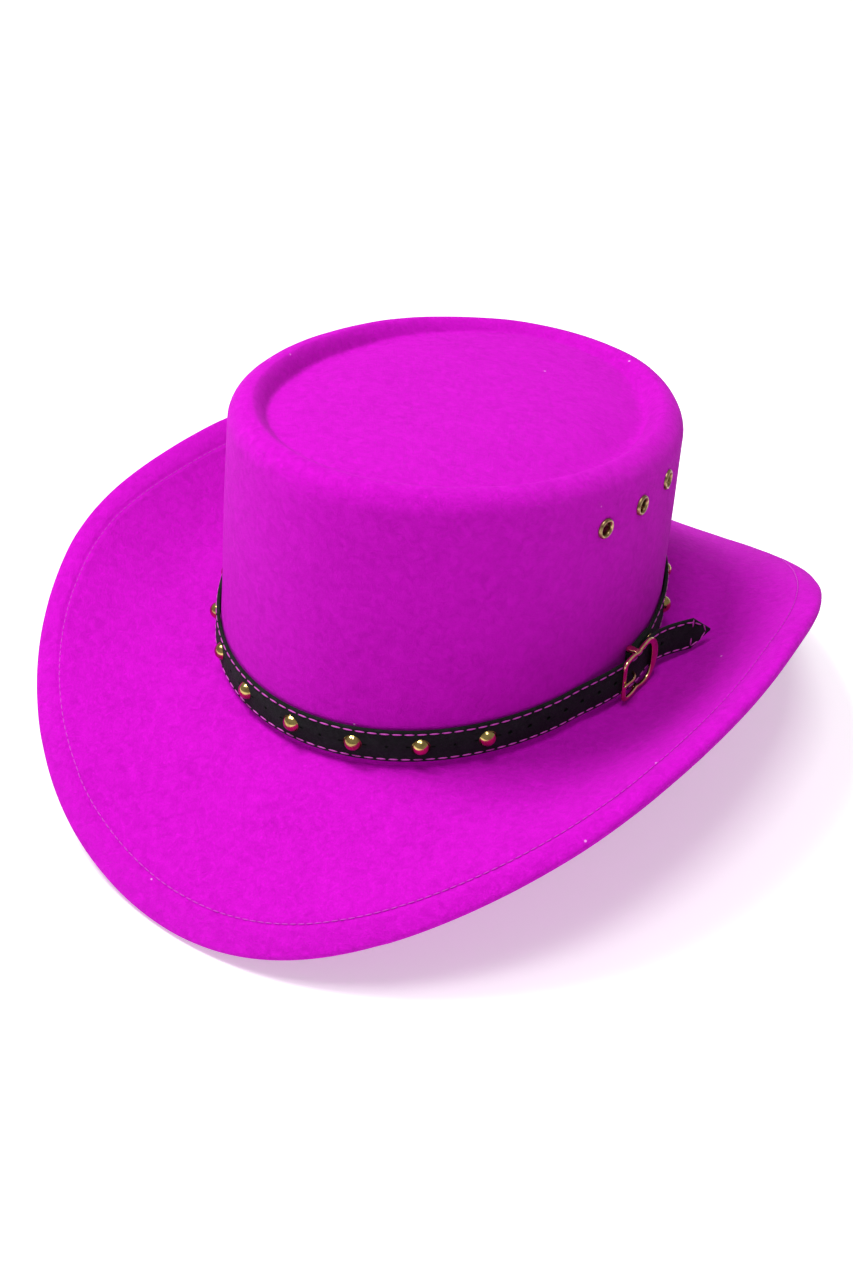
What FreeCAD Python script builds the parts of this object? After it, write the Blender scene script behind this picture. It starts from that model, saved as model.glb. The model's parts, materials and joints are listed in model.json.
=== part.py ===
"""Gambler-style felt hat: pressed felt body, wired brim, sweatband, eyelets and a buckled, studded hat band.

Millimetres, +Z up. The front of the hat looks along -Y and the wearer's left is +X. Shapes are drawn about
the crown's own axis, and every node is moved at the end so that the origin is the middle of the bottom of
the whole hat, which rests on the lowest points of its front and back brim.
"""
import FreeCAD, Part
import math
import os
from FreeCAD import Placement, Rotation, Vector

# ---- driving dimensions -------------------------------------------------------------------------------

# Crown: a tapering oval wall. Its foot takes a head of about 58 cm.
FOOT_HALF_LENGTH = 105.0
FOOT_HALF_WIDTH = 87.0
FOOT_HEIGHT = 52.6
FOOT_TILT = 7.2              # the foot is this much lower at the front than at the sides
FOOT_SADDLE = 1.4            # and the sides are this much higher than a flat foot
TOP_HALF_LENGTH = 108.9
TOP_HALF_WIDTH = 80.5
TOP_HEIGHT = 151.2
TOP_TILT = 11.7              # the crown is this much taller at the front

# Telescope crease in the crown's top.
RIM_RADIUS = 9.0
CREASE_INSET = 18.5          # from the wall to the bottom of the crease
CREASE_SHIFT = 6.0           # the flat top sits this much towards the wearer's right
CREASE_DEPTH = 4.5
DOME_RISE = 2.5              # the flat top's middle over the crease
FLAT_SHARES = (0.06, 0.3, 0.55, 0.75, 0.9)   # rings of the flat top, as shares of its size
CREASE_LIP = 4.0             # from the crease's bottom to the edge of the flat top
CREASE_LIP_RISE = 0.3
CREASE_STEEPNESS = 1.6       # of the crease's side towards the rim

# Brim: the middle of its edge bead, every 45 degrees from the front round to the back.
EDGE_REACH = (179.0, 166.0, 143.0, 166.0, 199.5)
EDGE_HEIGHT = (2.4, 48.0, 74.5, 59.0, 2.4)
EDGE_RADIUS = 2.4
BREAK_RADIUS = 3.5           # rounding between wall and brim
BREAK_DROP = 4.0             # the brim leaves the crown this much under the hat band
HEM_WIDTH = 15.0
HEM_THICKNESS = 4.2
FELT = 2.6                   # felt thickness
CURL_AT_FRONT = 1.3          # how the brim's rise grows outwards: power at the front and back
CURL_MORE_AT_SIDES = 0.8     # and what the sides add to it
BRIM_STEPS = 7               # rings of the brim inside its hem
HEM_STEPS = 3
BREAK_UNDER_IN = 0.55        # underside of the break, in felt thicknesses inwards
BREAK_UNDER_DOWN = 0.85      # and downwards

# Brim wire and the sleeve that joins its ends at the back.
WIRE_RADIUS = 0.8
FERRULE_RADIUS = 1.5
FERRULE_LENGTH = 12.0
WIRE_GAP = 0.6               # between the wire's ends, inside the sleeve
WIRE_SIDES = 8
BACK_BLOCK = 20.0            # size of the block that picks out the hem at the back

# Sweatband.
SWEAT_THICKNESS = 1.0
SWEAT_TALL = 30.0
SWEAT_GAP = 0.15
SWEAT_LOW = -1.0             # lower edge of the sweatband, from the crown's foot

# Eyelets: three each side of the crown in a row.
EYELET_HEIGHT = 133.4
EYELET_STEP = 13.0           # degrees round the crown's oval
EYELET_FLANGE = 4.1
EYELET_BARREL = 2.9
EYELET_BORE = 2.5
EYELET_SHEET = 0.4
EYELET_RISE = 1.0            # of the rolled ring over its foot
EYELET_OFF = 0.1             # between the ring's foot and the felt
EYELET_ROUND = 0.5           # how far the ring's top is drawn in
EYELET_LIP = 3.4             # radius of the lip turned over inside
LIP_DEPTH = 1.0              # of that lip from the felt's inside
WASHER_GAP = 0.2
DRILL = 20.0                 # length of a cutter that passes right through the wall

# Hat band strap.
STRAP_TALL = 14.5
STRAP_THICKNESS = 1.4
STRAP_GAP = 0.5
STUD_COUNT = 20
STUD_PITCH = 25.9
FIRST_STUD = 79.5            # round the band from its front to the stud nearest the buckle
STUD_RADIUS = 3.5
STUD_RISE = 2.7
STUD_SHANK = 0.8
STUD_SHANK_DEPTH = 0.9
STUD_OFF = 0.08              # between a stud's head and the strap
STUD_PLAY = 0.02
HOLE_RADIUS = 1.0
HOLE_PITCH = 8.6
HOLE_COUNT = 7
FIRST_HOLE = -12.9           # along the strap from the buckle's bar
TAIL_HOLE = 21.5
HOLE_DRILL = 9.0
NEAR_START = 0.2             # where the drill starts, out from the crown's foot, in front of the buckle
TAIL_START = 2.5             # and in the tail, which the fold lies under
HUG_START = -25.0            # past here the strap hugs the crown
BAND_STEPS = 44
TABLE_STEPS = 720
TAIL_SLOPE_END = 16.0        # past here along the strap the tail stays level
POINT_LENGTH = 9.0           # the tail's pointed end

# Buckle, on the wearer's left. Its places are (along the strap towards the back, out from the crown's foot).
BAR_OUT = 2.2
BAR_RADIUS = 0.9
FOLD_THICKNESS = 0.75
FRAME_OUT = 5.4
FRAME_THICKNESS = 1.7
EAR_HALF_LENGTH = 1.6
EAR_THICKNESS = 1.4
EAR_UP = 8.6                 # middle of an ear above the strap's middle
PRONG_RADIUS = 0.65
PRONG_HALF_WIDTH = 0.9
PRONG_WINDOW = 1.4
PRONG_RISE = ((-0.9, 0.9), (-2.3, 2.6))      # the tongue as (along, out from the bar), up to the frame
PRONG_TONGUE = ((-4.2, -0.7), (-7.0, 0.25), (-11.0, 0.0), (-13.0, -0.1))     # (along, out from its rest)
RUNNING_GAP = 0.06

# Slot in the strap that the prong comes up through, from the middle of the bar.
SLOT_START = 1.78
SLOT_DEEP = 4.0
SLOT_LONG = 4.8
SLOT_PLAY = 0.5
SLOT_SHIFT = 0.1

# The strap's fold round the bar. The leg is given as (along, out from the turn's inner side).
FOLD_LEG = ((0.0, 0.0), (9.0, -0.35), (18.0, -1.25), (18.0, 0.15), (9.0, 1.1), (7.0, 1.61))
FOLD_CREVICE = ((4.5, -0.75), (4.5, -0.45))  # the point between the two layers, as (along, out)
FOLD_WINDOW_BACK = 2.4       # the prong's window reaches this far behind the bar

# Rivets through the fold.
RIVET_RADIUS = 1.7
RIVET_EDGE = 0.35
RIVET_TIP_RADIUS = 1.0
RIVET_TIP = 0.3
RIVET_ALONG = 15.5
RIVET_OUT = 1.5              # middle of the strap there, out from the crown's foot
RIVET_UP = 4.4

EAR_FOOT = 0.4               # how far the ears reach under the bar
EAR_BITE = 0.5               # and into the frame
CUTTER = 40.0                # size of a cutter that clears a small piece

SAMPLES = 48                 # points round each ring
WALL = FOOT_HALF_WIDTH       # the crown's foot at the buckle


# ---- the hat's outline --------------------------------------------------------------------------------

def even_curve(values):
    """A smooth even curve round the hat through values spaced evenly from the front to the back."""
    last = len(values) - 1
    terms = []
    for n in range(last + 1):
        total = sum(value * math.cos(n * j * math.pi / last) * (0.5 if j in (0, last) else 1.0)
                    for j, value in enumerate(values))
        terms.append(total * (1.0 if n in (0, last) else 2.0) / last)
    return lambda angle: sum(term * math.cos(n * angle) for n, term in enumerate(terms))


edge_reach = even_curve(EDGE_REACH)
edge_height = even_curve(EDGE_HEIGHT)


def oval(angle, half_length, half_width):
    """Plan point of an oval; the angle runs from the front (-Y) towards the wearer's left (+X)."""
    return Vector(half_width * math.sin(angle), -half_length * math.cos(angle), 0)


def foot_height(angle):
    """Height of the hat band's lower edge."""
    return FOOT_HEIGHT - FOOT_TILT * math.cos(angle) - FOOT_SADDLE * math.cos(2 * angle)


def top_height(angle):
    return TOP_HEIGHT + TOP_TILT * math.cos(angle)


def wall_point(angle, height, outset=0.0):
    """A point at this height on the crown's outer wall, or outset from it."""
    share = (height - foot_height(angle)) / (top_height(angle) - foot_height(angle))
    half_length = FOOT_HALF_LENGTH + (TOP_HALF_LENGTH - FOOT_HALF_LENGTH) * share
    half_width = FOOT_HALF_WIDTH + (TOP_HALF_WIDTH - FOOT_HALF_WIDTH) * share
    return oval(angle, half_length + outset, half_width + outset) + Vector(0, 0, height)


def wall_lean(angle, height):
    """How far the wall has moved sideways at this height from its foot."""
    foot = wall_point(angle, foot_height(angle))
    here = wall_point(angle, height)
    return Vector(here.x - foot.x, here.y - foot.y, 0)


# ---- solids from rings --------------------------------------------------------------------------------

def ring_edge(points):
    curve = Part.BSplineCurve()
    curve.interpolate(Points=points, PeriodicFlag=True)
    return curve.toShape()


def open_edge(points):
    curve = Part.BSplineCurve()
    curve.interpolate(Points=points)
    return curve.toShape()


def solid_of(faces):
    shell = Part.Shell(faces)
    shell.sewShape()
    solid = Part.Solid(shell)
    if solid.Volume < 0:
        solid.reverse()
    return solid


def capped_solid(rings):
    """Rings joined in turn, with flat caps on the first and the last."""
    edges = [ring_edge(ring) for ring in rings]
    faces = [Part.makeRuledSurface(one, two) for one, two in zip(edges, edges[1:])]
    faces.append(Part.Face(Part.Wire(edges[0])))
    faces.append(Part.Face(Part.Wire(edges[-1])))
    return solid_of(faces)


def hoop_solid(rings):
    """Rings joined in turn and back to the first, like a tyre."""
    edges = [ring_edge(ring) for ring in rings]
    faces = [Part.makeRuledSurface(one, two) for one, two in zip(edges, edges[1:] + edges[:1])]
    return solid_of(faces)


def strip_solid(corners):
    """A strip from a list of four-cornered sections."""
    edges = [open_edge([section[k] for section in corners]) for k in range(4)]
    faces = [Part.makeRuledSurface(edges[k], edges[(k + 1) % 4]) for k in range(4)]
    for section in (corners[0], corners[-1]):
        faces.append(Part.Face(Part.makePolygon(list(section) + [section[0]])))
    return solid_of(faces)


def angles():
    return [2 * math.pi * k / SAMPLES for k in range(SAMPLES)]


# ---- felt body ----------------------------------------------------------------------------------------

def crease_inset(angle):
    return CREASE_INSET + CREASE_SHIFT * math.sin(angle)


def top_line(angle):
    """Crown top from the middle to the wall: (share of the top oval, inset in mm, drop in mm)."""
    flat = crease_inset(angle) + CREASE_LIP
    line = []
    for share in FLAT_SHARES:
        line.append((share, flat, CREASE_DEPTH - DOME_RISE * (1 - share ** 4)))
    line.append((1.0, flat, CREASE_DEPTH - CREASE_LIP_RISE))
    line.append((1.0, crease_inset(angle), CREASE_DEPTH))
    for part in (0.35, 0.7):
        inset = crease_inset(angle) + (RIM_RADIUS - crease_inset(angle)) * part
        line.append((1.0, inset, CREASE_DEPTH * (1 - part) ** CREASE_STEEPNESS))
    for step in range(0, 91, 15):
        turn = math.radians(step)
        line.append((1.0, RIM_RADIUS * (1 - math.sin(turn)), RIM_RADIUS * (1 - math.cos(turn))))
    return line


def top_points(angle, depth):
    """The top line as points, moved in and down by depth to draw the inside."""
    points = []
    for share, inset, drop in top_line(angle):
        edge = wall_point(angle, top_height(angle) - drop - depth, -max(inset, depth))
        height = TOP_HEIGHT - TOP_TILT * edge.y * share / TOP_HALF_LENGTH - drop - depth
        points.append(Vector(edge.x * share, edge.y * share, height))
    return points


def wall_points(angle, depth):
    """The wall between the rim and the break, from the top down."""
    high = top_height(angle) - RIM_RADIUS
    low = foot_height(angle) - BREAK_DROP + BREAK_RADIUS
    return [wall_point(angle, high + (low - high) * step / 4, -depth) for step in range(1, 5)]


def brim_frame(angle):
    """Where the brim starts, which way it runs in plan, and how far it goes."""
    start = wall_point(angle, foot_height(angle) - BREAK_DROP)
    reach = edge_reach(angle)
    end = Vector(reach * math.sin(angle), -reach * math.cos(angle), 0)
    run = Vector(end.x - start.x, end.y - start.y, 0)
    length = run.Length
    return start, run.normalize(), length


def brim_line(angle):
    """Top of the brim in its own upright plane: (outward run, height), from the break to the edge bead."""
    start, _, length = brim_frame(angle)
    low = start.z
    curl = CURL_AT_FRONT + CURL_MORE_AT_SIDES * math.sin(angle) ** 2
    span = length - BREAK_RADIUS
    hem = 1 - HEM_WIDTH / span
    line = []
    for turn in (30, 60):
        across = BREAK_RADIUS * (1 - math.cos(math.radians(turn)))
        line.append((across, low + BREAK_RADIUS * (1 - math.sin(math.radians(turn)))))
    shares = [hem * k / BRIM_STEPS for k in range(BRIM_STEPS + 1)]
    shares += [hem + (1 - hem) * k / HEM_STEPS for k in range(1, HEM_STEPS + 1)]
    for share in shares:
        rise = (edge_height(angle) + EDGE_RADIUS - low) * share ** curl
        line.append((BREAK_RADIUS + span * share, low + rise))
    return line


def line_normals(line):
    """Unit normals of a plane line, on its upper side."""
    normals = []
    for k in range(len(line)):
        before = line[max(k - 1, 0)]
        after = line[min(k + 1, len(line) - 1)]
        run, rise = after[0] - before[0], after[1] - before[1]
        size = math.hypot(run, rise)
        normals.append((-rise / size, run / size))
    return normals


def brim_points(angle):
    """Brim points from the break out over the top, round the edge bead, and back along the underside."""
    start, outward, _ = brim_frame(angle)
    line = brim_line(angle)
    normals = line_normals(line)
    across, up = normals[-1]
    bead = (line[-1][0] - EDGE_RADIUS * across, line[-1][1] - EDGE_RADIUS * up)
    path = line[:]
    for turn in (-45, -90, -135, -180):
        c, s = math.cos(math.radians(turn)), math.sin(math.radians(turn))
        path.append((bead[0] + EDGE_RADIUS * (across * c - up * s),
                     bead[1] + EDGE_RADIUS * (across * s + up * c)))
    for k in range(len(line) - 2, 1, -1):
        in_hem = k >= len(line) - 1 - HEM_STEPS
        thick = HEM_THICKNESS if in_hem else FELT
        path.append((line[k][0] - thick * normals[k][0], line[k][1] - thick * normals[k][1]))
    low = start.z
    path.append((-FELT * BREAK_UNDER_IN, low - FELT * BREAK_UNDER_DOWN))
    return [Vector(start.x, start.y, 0) + outward * run + Vector(0, 0, rise) for run, rise in path]


def felt_rings():
    columns = []
    for angle in angles():
        column = top_points(angle, 0.0) + wall_points(angle, 0.0) + brim_points(angle)
        column += wall_points(angle, FELT)[::-1] + top_points(angle, FELT)[::-1]
        columns.append(column)
    return [[column[k] for column in columns] for k in range(len(columns[0]))]


# ---- brim wire ----------------------------------------------------------------------------------------

def bead_centre(angle):
    """Middle of the edge bead."""
    start, outward, _ = brim_frame(angle)
    line = brim_line(angle)
    across, up = line_normals(line)[-1]
    run = line[-1][0] - EDGE_RADIUS * across
    return Vector(start.x, start.y, 0) + outward * run + Vector(0, 0, line[-1][1] - EDGE_RADIUS * up)


def wire_hoop(radius):
    rings = []
    for corner in range(WIRE_SIDES):
        turn = 2 * math.pi * corner / WIRE_SIDES
        ring = []
        for angle in angles():
            outward = brim_frame(angle)[1]
            ring.append(bead_centre(angle) + outward * radius * math.cos(turn)
                        + Vector(0, 0, radius * math.sin(turn)))
        rings.append(ring)
    return hoop_solid(rings)


def across_back(length):
    """A block across the hem at the middle of the back."""
    middle = bead_centre(math.pi)
    corner = middle - Vector(length / 2, BACK_BLOCK / 2, BACK_BLOCK / 2)
    return Part.makeBox(length, BACK_BLOCK, BACK_BLOCK, corner)


# ---- sweatband and eyelets ----------------------------------------------------------------------------

def sweatband():
    rings = []
    for rise, depth in ((SWEAT_LOW, SWEAT_GAP), (SWEAT_TALL, SWEAT_GAP),
                        (SWEAT_TALL, SWEAT_GAP + SWEAT_THICKNESS), (SWEAT_LOW, SWEAT_GAP + SWEAT_THICKNESS)):
        rings.append([wall_point(a, foot_height(a) + rise, -FELT - depth) for a in angles()])
    return hoop_solid(rings)


def wall_normal(angle, height):
    """Outward normal of the crown's wall."""
    step = 0.01
    here = wall_point(angle, height)
    along = wall_point(angle + step, height) - here
    up = wall_point(angle, height + 1.0) - here
    return along.cross(up).normalize()


def eyelet(side, step):
    """Barrel, flange and rolled lip of one eyelet, and the washer under its lip."""
    angle = math.radians(90 + step * EYELET_STEP) * side
    centre = wall_point(angle, EYELET_HEIGHT)
    normal = wall_normal(angle, EYELET_HEIGHT)
    foot = EYELET_OFF
    top = foot + EYELET_RISE
    lip = -FELT - LIP_DEPTH
    outline = [(EYELET_BORE, top), (EYELET_FLANGE - EYELET_ROUND, top), (EYELET_FLANGE, foot + EYELET_SHEET),
               (EYELET_FLANGE, foot), (EYELET_BARREL, foot), (EYELET_BARREL, lip), (EYELET_LIP, lip),
               (EYELET_LIP, lip - EYELET_SHEET), (EYELET_BORE, lip - EYELET_SHEET)]
    inner = EYELET_BARREL + RUNNING_GAP
    high, low = -FELT - WASHER_GAP, lip + EYELET_OFF
    washer = [(inner, high), (EYELET_FLANGE, high), (EYELET_FLANGE, low), (inner, low)]
    place = Placement(centre, Rotation(Vector(0, 0, 1), normal))
    solids = []
    for shape in (outline, washer):
        wire = Part.makePolygon([Vector(r, 0, z) for r, z in shape + shape[:1]])
        solid = Part.Face(wire).revolve(Vector(0, 0, 0), Vector(0, 0, 1), 360)
        solid.Placement = place
        solids.append(solid)
    bore = Part.makeCylinder(inner, DRILL, centre - normal * (DRILL / 2), normal)
    return solids[0], solids[1], bore


# ---- hat band -----------------------------------------------------------------------------------------

BAND_MIDDLE = foot_height(math.pi / 2) + STRAP_TALL / 2
BAND_CLIMB = FOOT_TILT / FOOT_HALF_LENGTH    # rise of the band along the wearer's left side
BAND_HUG = STRAP_GAP + STRAP_THICKNESS / 2

# The strap's plan route beside the buckle, as (along towards the back, out from the crown's foot). The tail
# climbs over the buckle bar and springs away from the crown; the fold end lies under it.
TAIL_ROUTE = ((44.5, 15.6), (37.0, 11.8), (29.0, 7.8), (21.0, 4.9), (14.0, 3.9), (6.0, 4.4), (0.0, 4.95),
              (-5.0, 4.5), (-11.0, 3.3), (-20.0, 1.0))
FOLD_ROUTE = ((26.0, -1.4), (18.0, 0.62), (9.0, 1.62), (5.5, 1.75))
HUG_FROM_TAIL = math.acos(30.0 / FOOT_HALF_LENGTH)
HUG_FROM_FOLD = math.acos(-34.0 / FOOT_HALF_LENGTH)


def beside_buckle(along, out, up):
    """A point on the buckle side: along the strap, out from the foot, and up from the strap's middle."""
    angle = math.acos(-along / FOOT_HALF_LENGTH)
    height = BAND_MIDDLE + BAND_CLIMB * min(along, TAIL_SLOPE_END) + up
    return Vector(WALL + out, along, height) + wall_lean(angle, height)


def band_point(angle, out, up):
    """A point on the band where it hugs the crown."""
    height = foot_height(angle) + STRAP_TALL / 2 + up
    return wall_point(angle, height, out)


def strap_places():
    """The strap's middle from the tail round the crown to the fold: point makers with their places."""
    places = []
    for along, out in TAIL_ROUTE:
        places.append((beside_buckle, (along, out)))
    for k in range(BAND_STEPS + 1):
        angle = HUG_FROM_TAIL + (HUG_FROM_FOLD - 2 * math.pi - HUG_FROM_TAIL) * k / BAND_STEPS
        places.append((band_point, (angle, BAND_HUG)))
    for along, out in FOLD_ROUTE:
        places.append((beside_buckle, (along, out)))
    return places


def place_point(place, up):
    maker, where = place
    return maker(where[0], where[1], up)


def strap_sections(places):
    """Four corners of the strap at each place."""
    middles = [place_point(place, 0.0) for place in places]
    half = STRAP_TALL / 2
    sections = []
    for k, place in enumerate(places):
        along = middles[min(k + 1, len(middles) - 1)] - middles[max(k - 1, 0)]
        out = Vector(-along.y, along.x, 0).normalize() * (-STRAP_THICKNESS / 2)
        low, high = place_point(place, -half), place_point(place, half)
        sections.append((low + out, high + out, high - out, low - out))
    return sections


def tail_point_cut(middle, along):
    """Two blocks that trim the tail's end to a point."""
    cuts = []
    for side in (1, -1):
        slant = math.degrees(math.atan2(STRAP_TALL / 2, POINT_LENGTH))
        box = Part.makeBox(CUTTER, CUTTER / 2, CUTTER / 2, Vector(-CUTTER / 2, -CUTTER / 4, 0))
        box.rotate(Vector(0, 0, 0), Vector(0, 1, 0), slant)
        if side < 0:
            box = box.mirror(Vector(0, 0, 0), Vector(0, 0, 1))
        turn = math.degrees(math.atan2(along.y, along.x))
        box.rotate(Vector(0, 0, 0), Vector(0, 0, 1), turn)
        box.translate(middle)
        cuts.append(box)
    return cuts


def strap_middle_table():
    """Distances round the hugging band's middle and their angles, from the front towards the buckle."""
    length = 0.0
    table = [(0.0, 0.0)]
    before = band_point(0.0, BAND_HUG, 0.0)
    for k in range(1, TABLE_STEPS + 1):
        angle = 2 * math.pi * k / TABLE_STEPS
        here = band_point(angle, BAND_HUG, 0.0)
        length += (here - before).Length
        table.append((length, angle))
        before = here
    return table


def angle_at(distance, table):
    """Angle round the crown at a distance along the band from its front."""
    distance %= table[-1][0]
    for (low, start), (high, end) in zip(table, table[1:]):
        if distance <= high:
            return start + (end - start) * (distance - low) / (high - low)
    return 0.0


def strap_face_place(angle):
    """A placement on the strap's outer face, with its own Z straight out of the strap."""
    point = band_point(angle, STRAP_GAP + STRAP_THICKNESS, 0.0)
    normal = wall_normal(angle, point.z)
    return Placement(point, Rotation(Vector(0, 0, 1), normal))


def dome_stud():
    """A domed head on a short shank, standing on its own Z."""
    ball = (STUD_RADIUS ** 2 + STUD_RISE ** 2) / (2 * STUD_RISE)
    dome = Part.makeSphere(ball, Vector(0, 0, STUD_OFF + STUD_RISE - ball))
    dome = dome.common(Part.makeCylinder(2 * STUD_RADIUS, 2 * STUD_RISE, Vector(0, 0, STUD_OFF)))
    shank = Part.makeCylinder(STUD_SHANK, STUD_SHANK_DEPTH + STUD_RISE / 2, Vector(0, 0, -STUD_SHANK_DEPTH))
    return dome.fuse(shank).removeSplitter()


def buckle_place():
    """Buckle pieces are drawn with X out, Y along and Z up, about the middle of the centre bar."""
    middle = beside_buckle(0.0, BAR_OUT, 0.0)
    lean = wall_normal(math.pi / 2, middle.z)
    climb = math.degrees(math.atan(BAND_CLIMB))
    tip = math.degrees(math.atan2(lean.z, lean.x))
    turn = Rotation(Vector(1, 0, 0), climb).multiply(Rotation(Vector(0, 1, 0), -tip))
    return Placement(middle, turn)


def extrude_plan(outline, half_height):
    """A closed (along, out) outline, given from the bar's middle, extruded up and down."""
    points = [Vector(out, along, -half_height) for along, out in outline]
    face = Part.Face(Part.makePolygon(points + points[:1]))
    return face.extrude(Vector(0, 0, 2 * half_height))


def strap_fold():
    """The strap's end, thinned and turned round the centre bar, with a window for the prong's eye."""
    half = STRAP_TALL / 2
    outer = BAR_RADIUS + RUNNING_GAP + FOLD_THICKNESS
    hollow = BAR_RADIUS + RUNNING_GAP
    leg = [(along, out - outer) for along, out in FOLD_LEG] + [(0.0, outer)]
    body = extrude_plan(leg, half)
    body = body.fuse(Part.makeCylinder(outer, 2 * half, Vector(0, 0, -half)))
    body = body.cut(Part.makeCylinder(hollow, 2 * half, Vector(0, 0, -half)))
    body = body.cut(extrude_plan([(0.0, -hollow), *FOLD_CREVICE, (0.0, hollow)], STRAP_TALL))
    window = Part.makeBox(4 * outer, 2 * outer + FOLD_WINDOW_BACK, 2 * PRONG_WINDOW)
    window.translate(Vector(-2 * outer, -2 * outer, -PRONG_WINDOW))
    body = body.cut(window)
    body.Placement = buckle_place()
    return body


def hat_band_strap(table):
    places = strap_places()
    sections = strap_sections(places)
    strap = strip_solid(sections)
    middles = [place_point(place, 0.0) for place in places]
    along = middles[0] - middles[1]
    for block in tail_point_cut(middles[0], along):
        strap = strap.cut(block)
    strap = strap.fuse(strap_fold()).removeSplitter()
    for place in [FIRST_HOLE - HOLE_PITCH * k for k in range(HOLE_COUNT)] + [TAIL_HOLE]:
        if place < HUG_START:
            angle = angle_at(buckle_distance(table) + place, table)
            centre = band_point(angle, 0.0, 0.0)
            out = wall_normal(angle, centre.z)
        else:
            centre = beside_buckle(place, 0.0, 0.0)
            out = Vector(1, 0, 0)
        start = TAIL_START if place == TAIL_HOLE else NEAR_START
        strap = strap.cut(Part.makeCylinder(HOLE_RADIUS, HOLE_DRILL, centre + out * start, out))
    half_tall = PRONG_RADIUS + SLOT_PLAY
    slot = Part.makeBox(SLOT_DEEP, SLOT_LONG, 2 * half_tall)
    slot.translate(Vector(SLOT_START, -SLOT_PLAY - SLOT_LONG + SLOT_SHIFT, -half_tall))
    slot.Placement = buckle_place().multiply(slot.Placement)
    return strap.cut(slot)


def buckle_distance(table):
    """Distance round the band from its front to the buckle's centre bar."""
    for length, angle in table:
        if angle >= math.pi / 2:
            return length
    return 0.0


def buckle_outline(points):
    """A closed smooth outline, the same above and below the strap's middle, from its upper half."""
    lower = [(along, -up) for along, up in points[-2:0:-1]]
    curve = Part.BSplineCurve()
    curve.interpolate(Points=[Vector(0, along, up) for along, up in list(points) + lower], PeriodicFlag=True)
    return Part.Face(Part.Wire(curve.toShape()))


# Upper half of the buckle frame, as (along, up): a slim square loop before the centre bar, a waist at the
# bar, and a round loop with a broad end behind it.
FRAME_OUTER = ((-11.9, 0.0), (-11.7, 7.2), (-9.8, 9.8), (-4.5, 10.2), (-0.4, 9.3), (3.6, 10.4), (9.2, 10.2),
               (14.4, 6.4), (16.4, 0.0))
FRAME_INNER = ((-10.0, 0.0), (-9.8, 6.3), (-8.5, 8.1), (-4.5, 8.5), (-0.4, 7.8), (3.6, 8.6), (7.9, 8.2),
               (11.4, 5.0), (12.6, 0.0))


def buckle_frame():
    """Frame with two ears that carry the centre bar's ends."""
    plate = buckle_outline(FRAME_OUTER).cut(buckle_outline(FRAME_INNER))
    frame = plate.extrude(Vector(FRAME_THICKNESS, 0, 0))
    frame.translate(Vector(FRAME_OUT - BAR_OUT, 0, 0))
    for side in (1, -1):
        low = -BAR_RADIUS - EAR_FOOT
        ear = Part.makeBox(FRAME_OUT - BAR_OUT - low + EAR_BITE, 2 * EAR_HALF_LENGTH, EAR_THICKNESS,
                           Vector(low, -EAR_HALF_LENGTH, side * EAR_UP - EAR_THICKNESS / 2))
        frame = frame.fuse(ear)
    frame = frame.cut(Part.makeCylinder(BAR_RADIUS, CUTTER, Vector(0, 0, -CUTTER / 2)))
    frame = frame.removeSplitter()
    frame.Placement = buckle_place()
    return frame


def buckle_centre_bar():
    half = EAR_UP + EAR_THICKNESS / 2
    bar = Part.makeCylinder(BAR_RADIUS, 2 * half, Vector(0, 0, -half))
    bar.Placement = buckle_place()
    return bar


def buckle_prong():
    """An eye round the centre bar and a bent tongue whose tip lies on the frame's front bar."""
    eye = Part.makeCylinder(BAR_RADIUS + FOLD_THICKNESS + RUNNING_GAP, 2 * PRONG_HALF_WIDTH,
                            Vector(0, 0, -PRONG_HALF_WIDTH))
    rest = FRAME_OUT - BAR_OUT + FRAME_THICKNESS + PRONG_RADIUS + RUNNING_GAP
    route = PRONG_RISE + tuple((along, rest + out) for along, out in PRONG_TONGUE)
    curve = Part.BSplineCurve()
    curve.interpolate(Points=[Vector(out, along, 0) for along, out in route])
    spine = Part.Wire(curve.toShape())
    first, second = route[0], route[1]
    ahead = Vector(second[1] - first[1], second[0] - first[0], 0)
    section = Part.Wire(Part.makeCircle(PRONG_RADIUS, Vector(first[1], first[0], 0), ahead))
    tongue = spine.makePipeShell([section], True, True)
    tip = Part.makeSphere(PRONG_RADIUS, Vector(route[-1][1], route[-1][0], 0))
    prong = eye.fuse(tongue).fuse(tip)
    prong = prong.cut(Part.makeCylinder(BAR_RADIUS + RUNNING_GAP, CUTTER, Vector(0, 0, -CUTTER / 2)))
    prong.Placement = buckle_place()
    return prong


def fold_rivet(up):
    """A small round-headed rivet through the strap's fold."""
    base = beside_buckle(RIVET_ALONG, RIVET_OUT + STRAP_THICKNESS / 2, up)
    edge = Part.makeCylinder(RIVET_RADIUS, RIVET_EDGE, base, Vector(1, 0, 0))
    tip = Part.makeCone(RIVET_RADIUS, RIVET_TIP_RADIUS, RIVET_TIP, base + Vector(RIVET_EDGE, 0, 0),
                        Vector(1, 0, 0))
    return edge.fuse(tip)


# ---- write the nodes ----------------------------------------------------------------------------------

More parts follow.
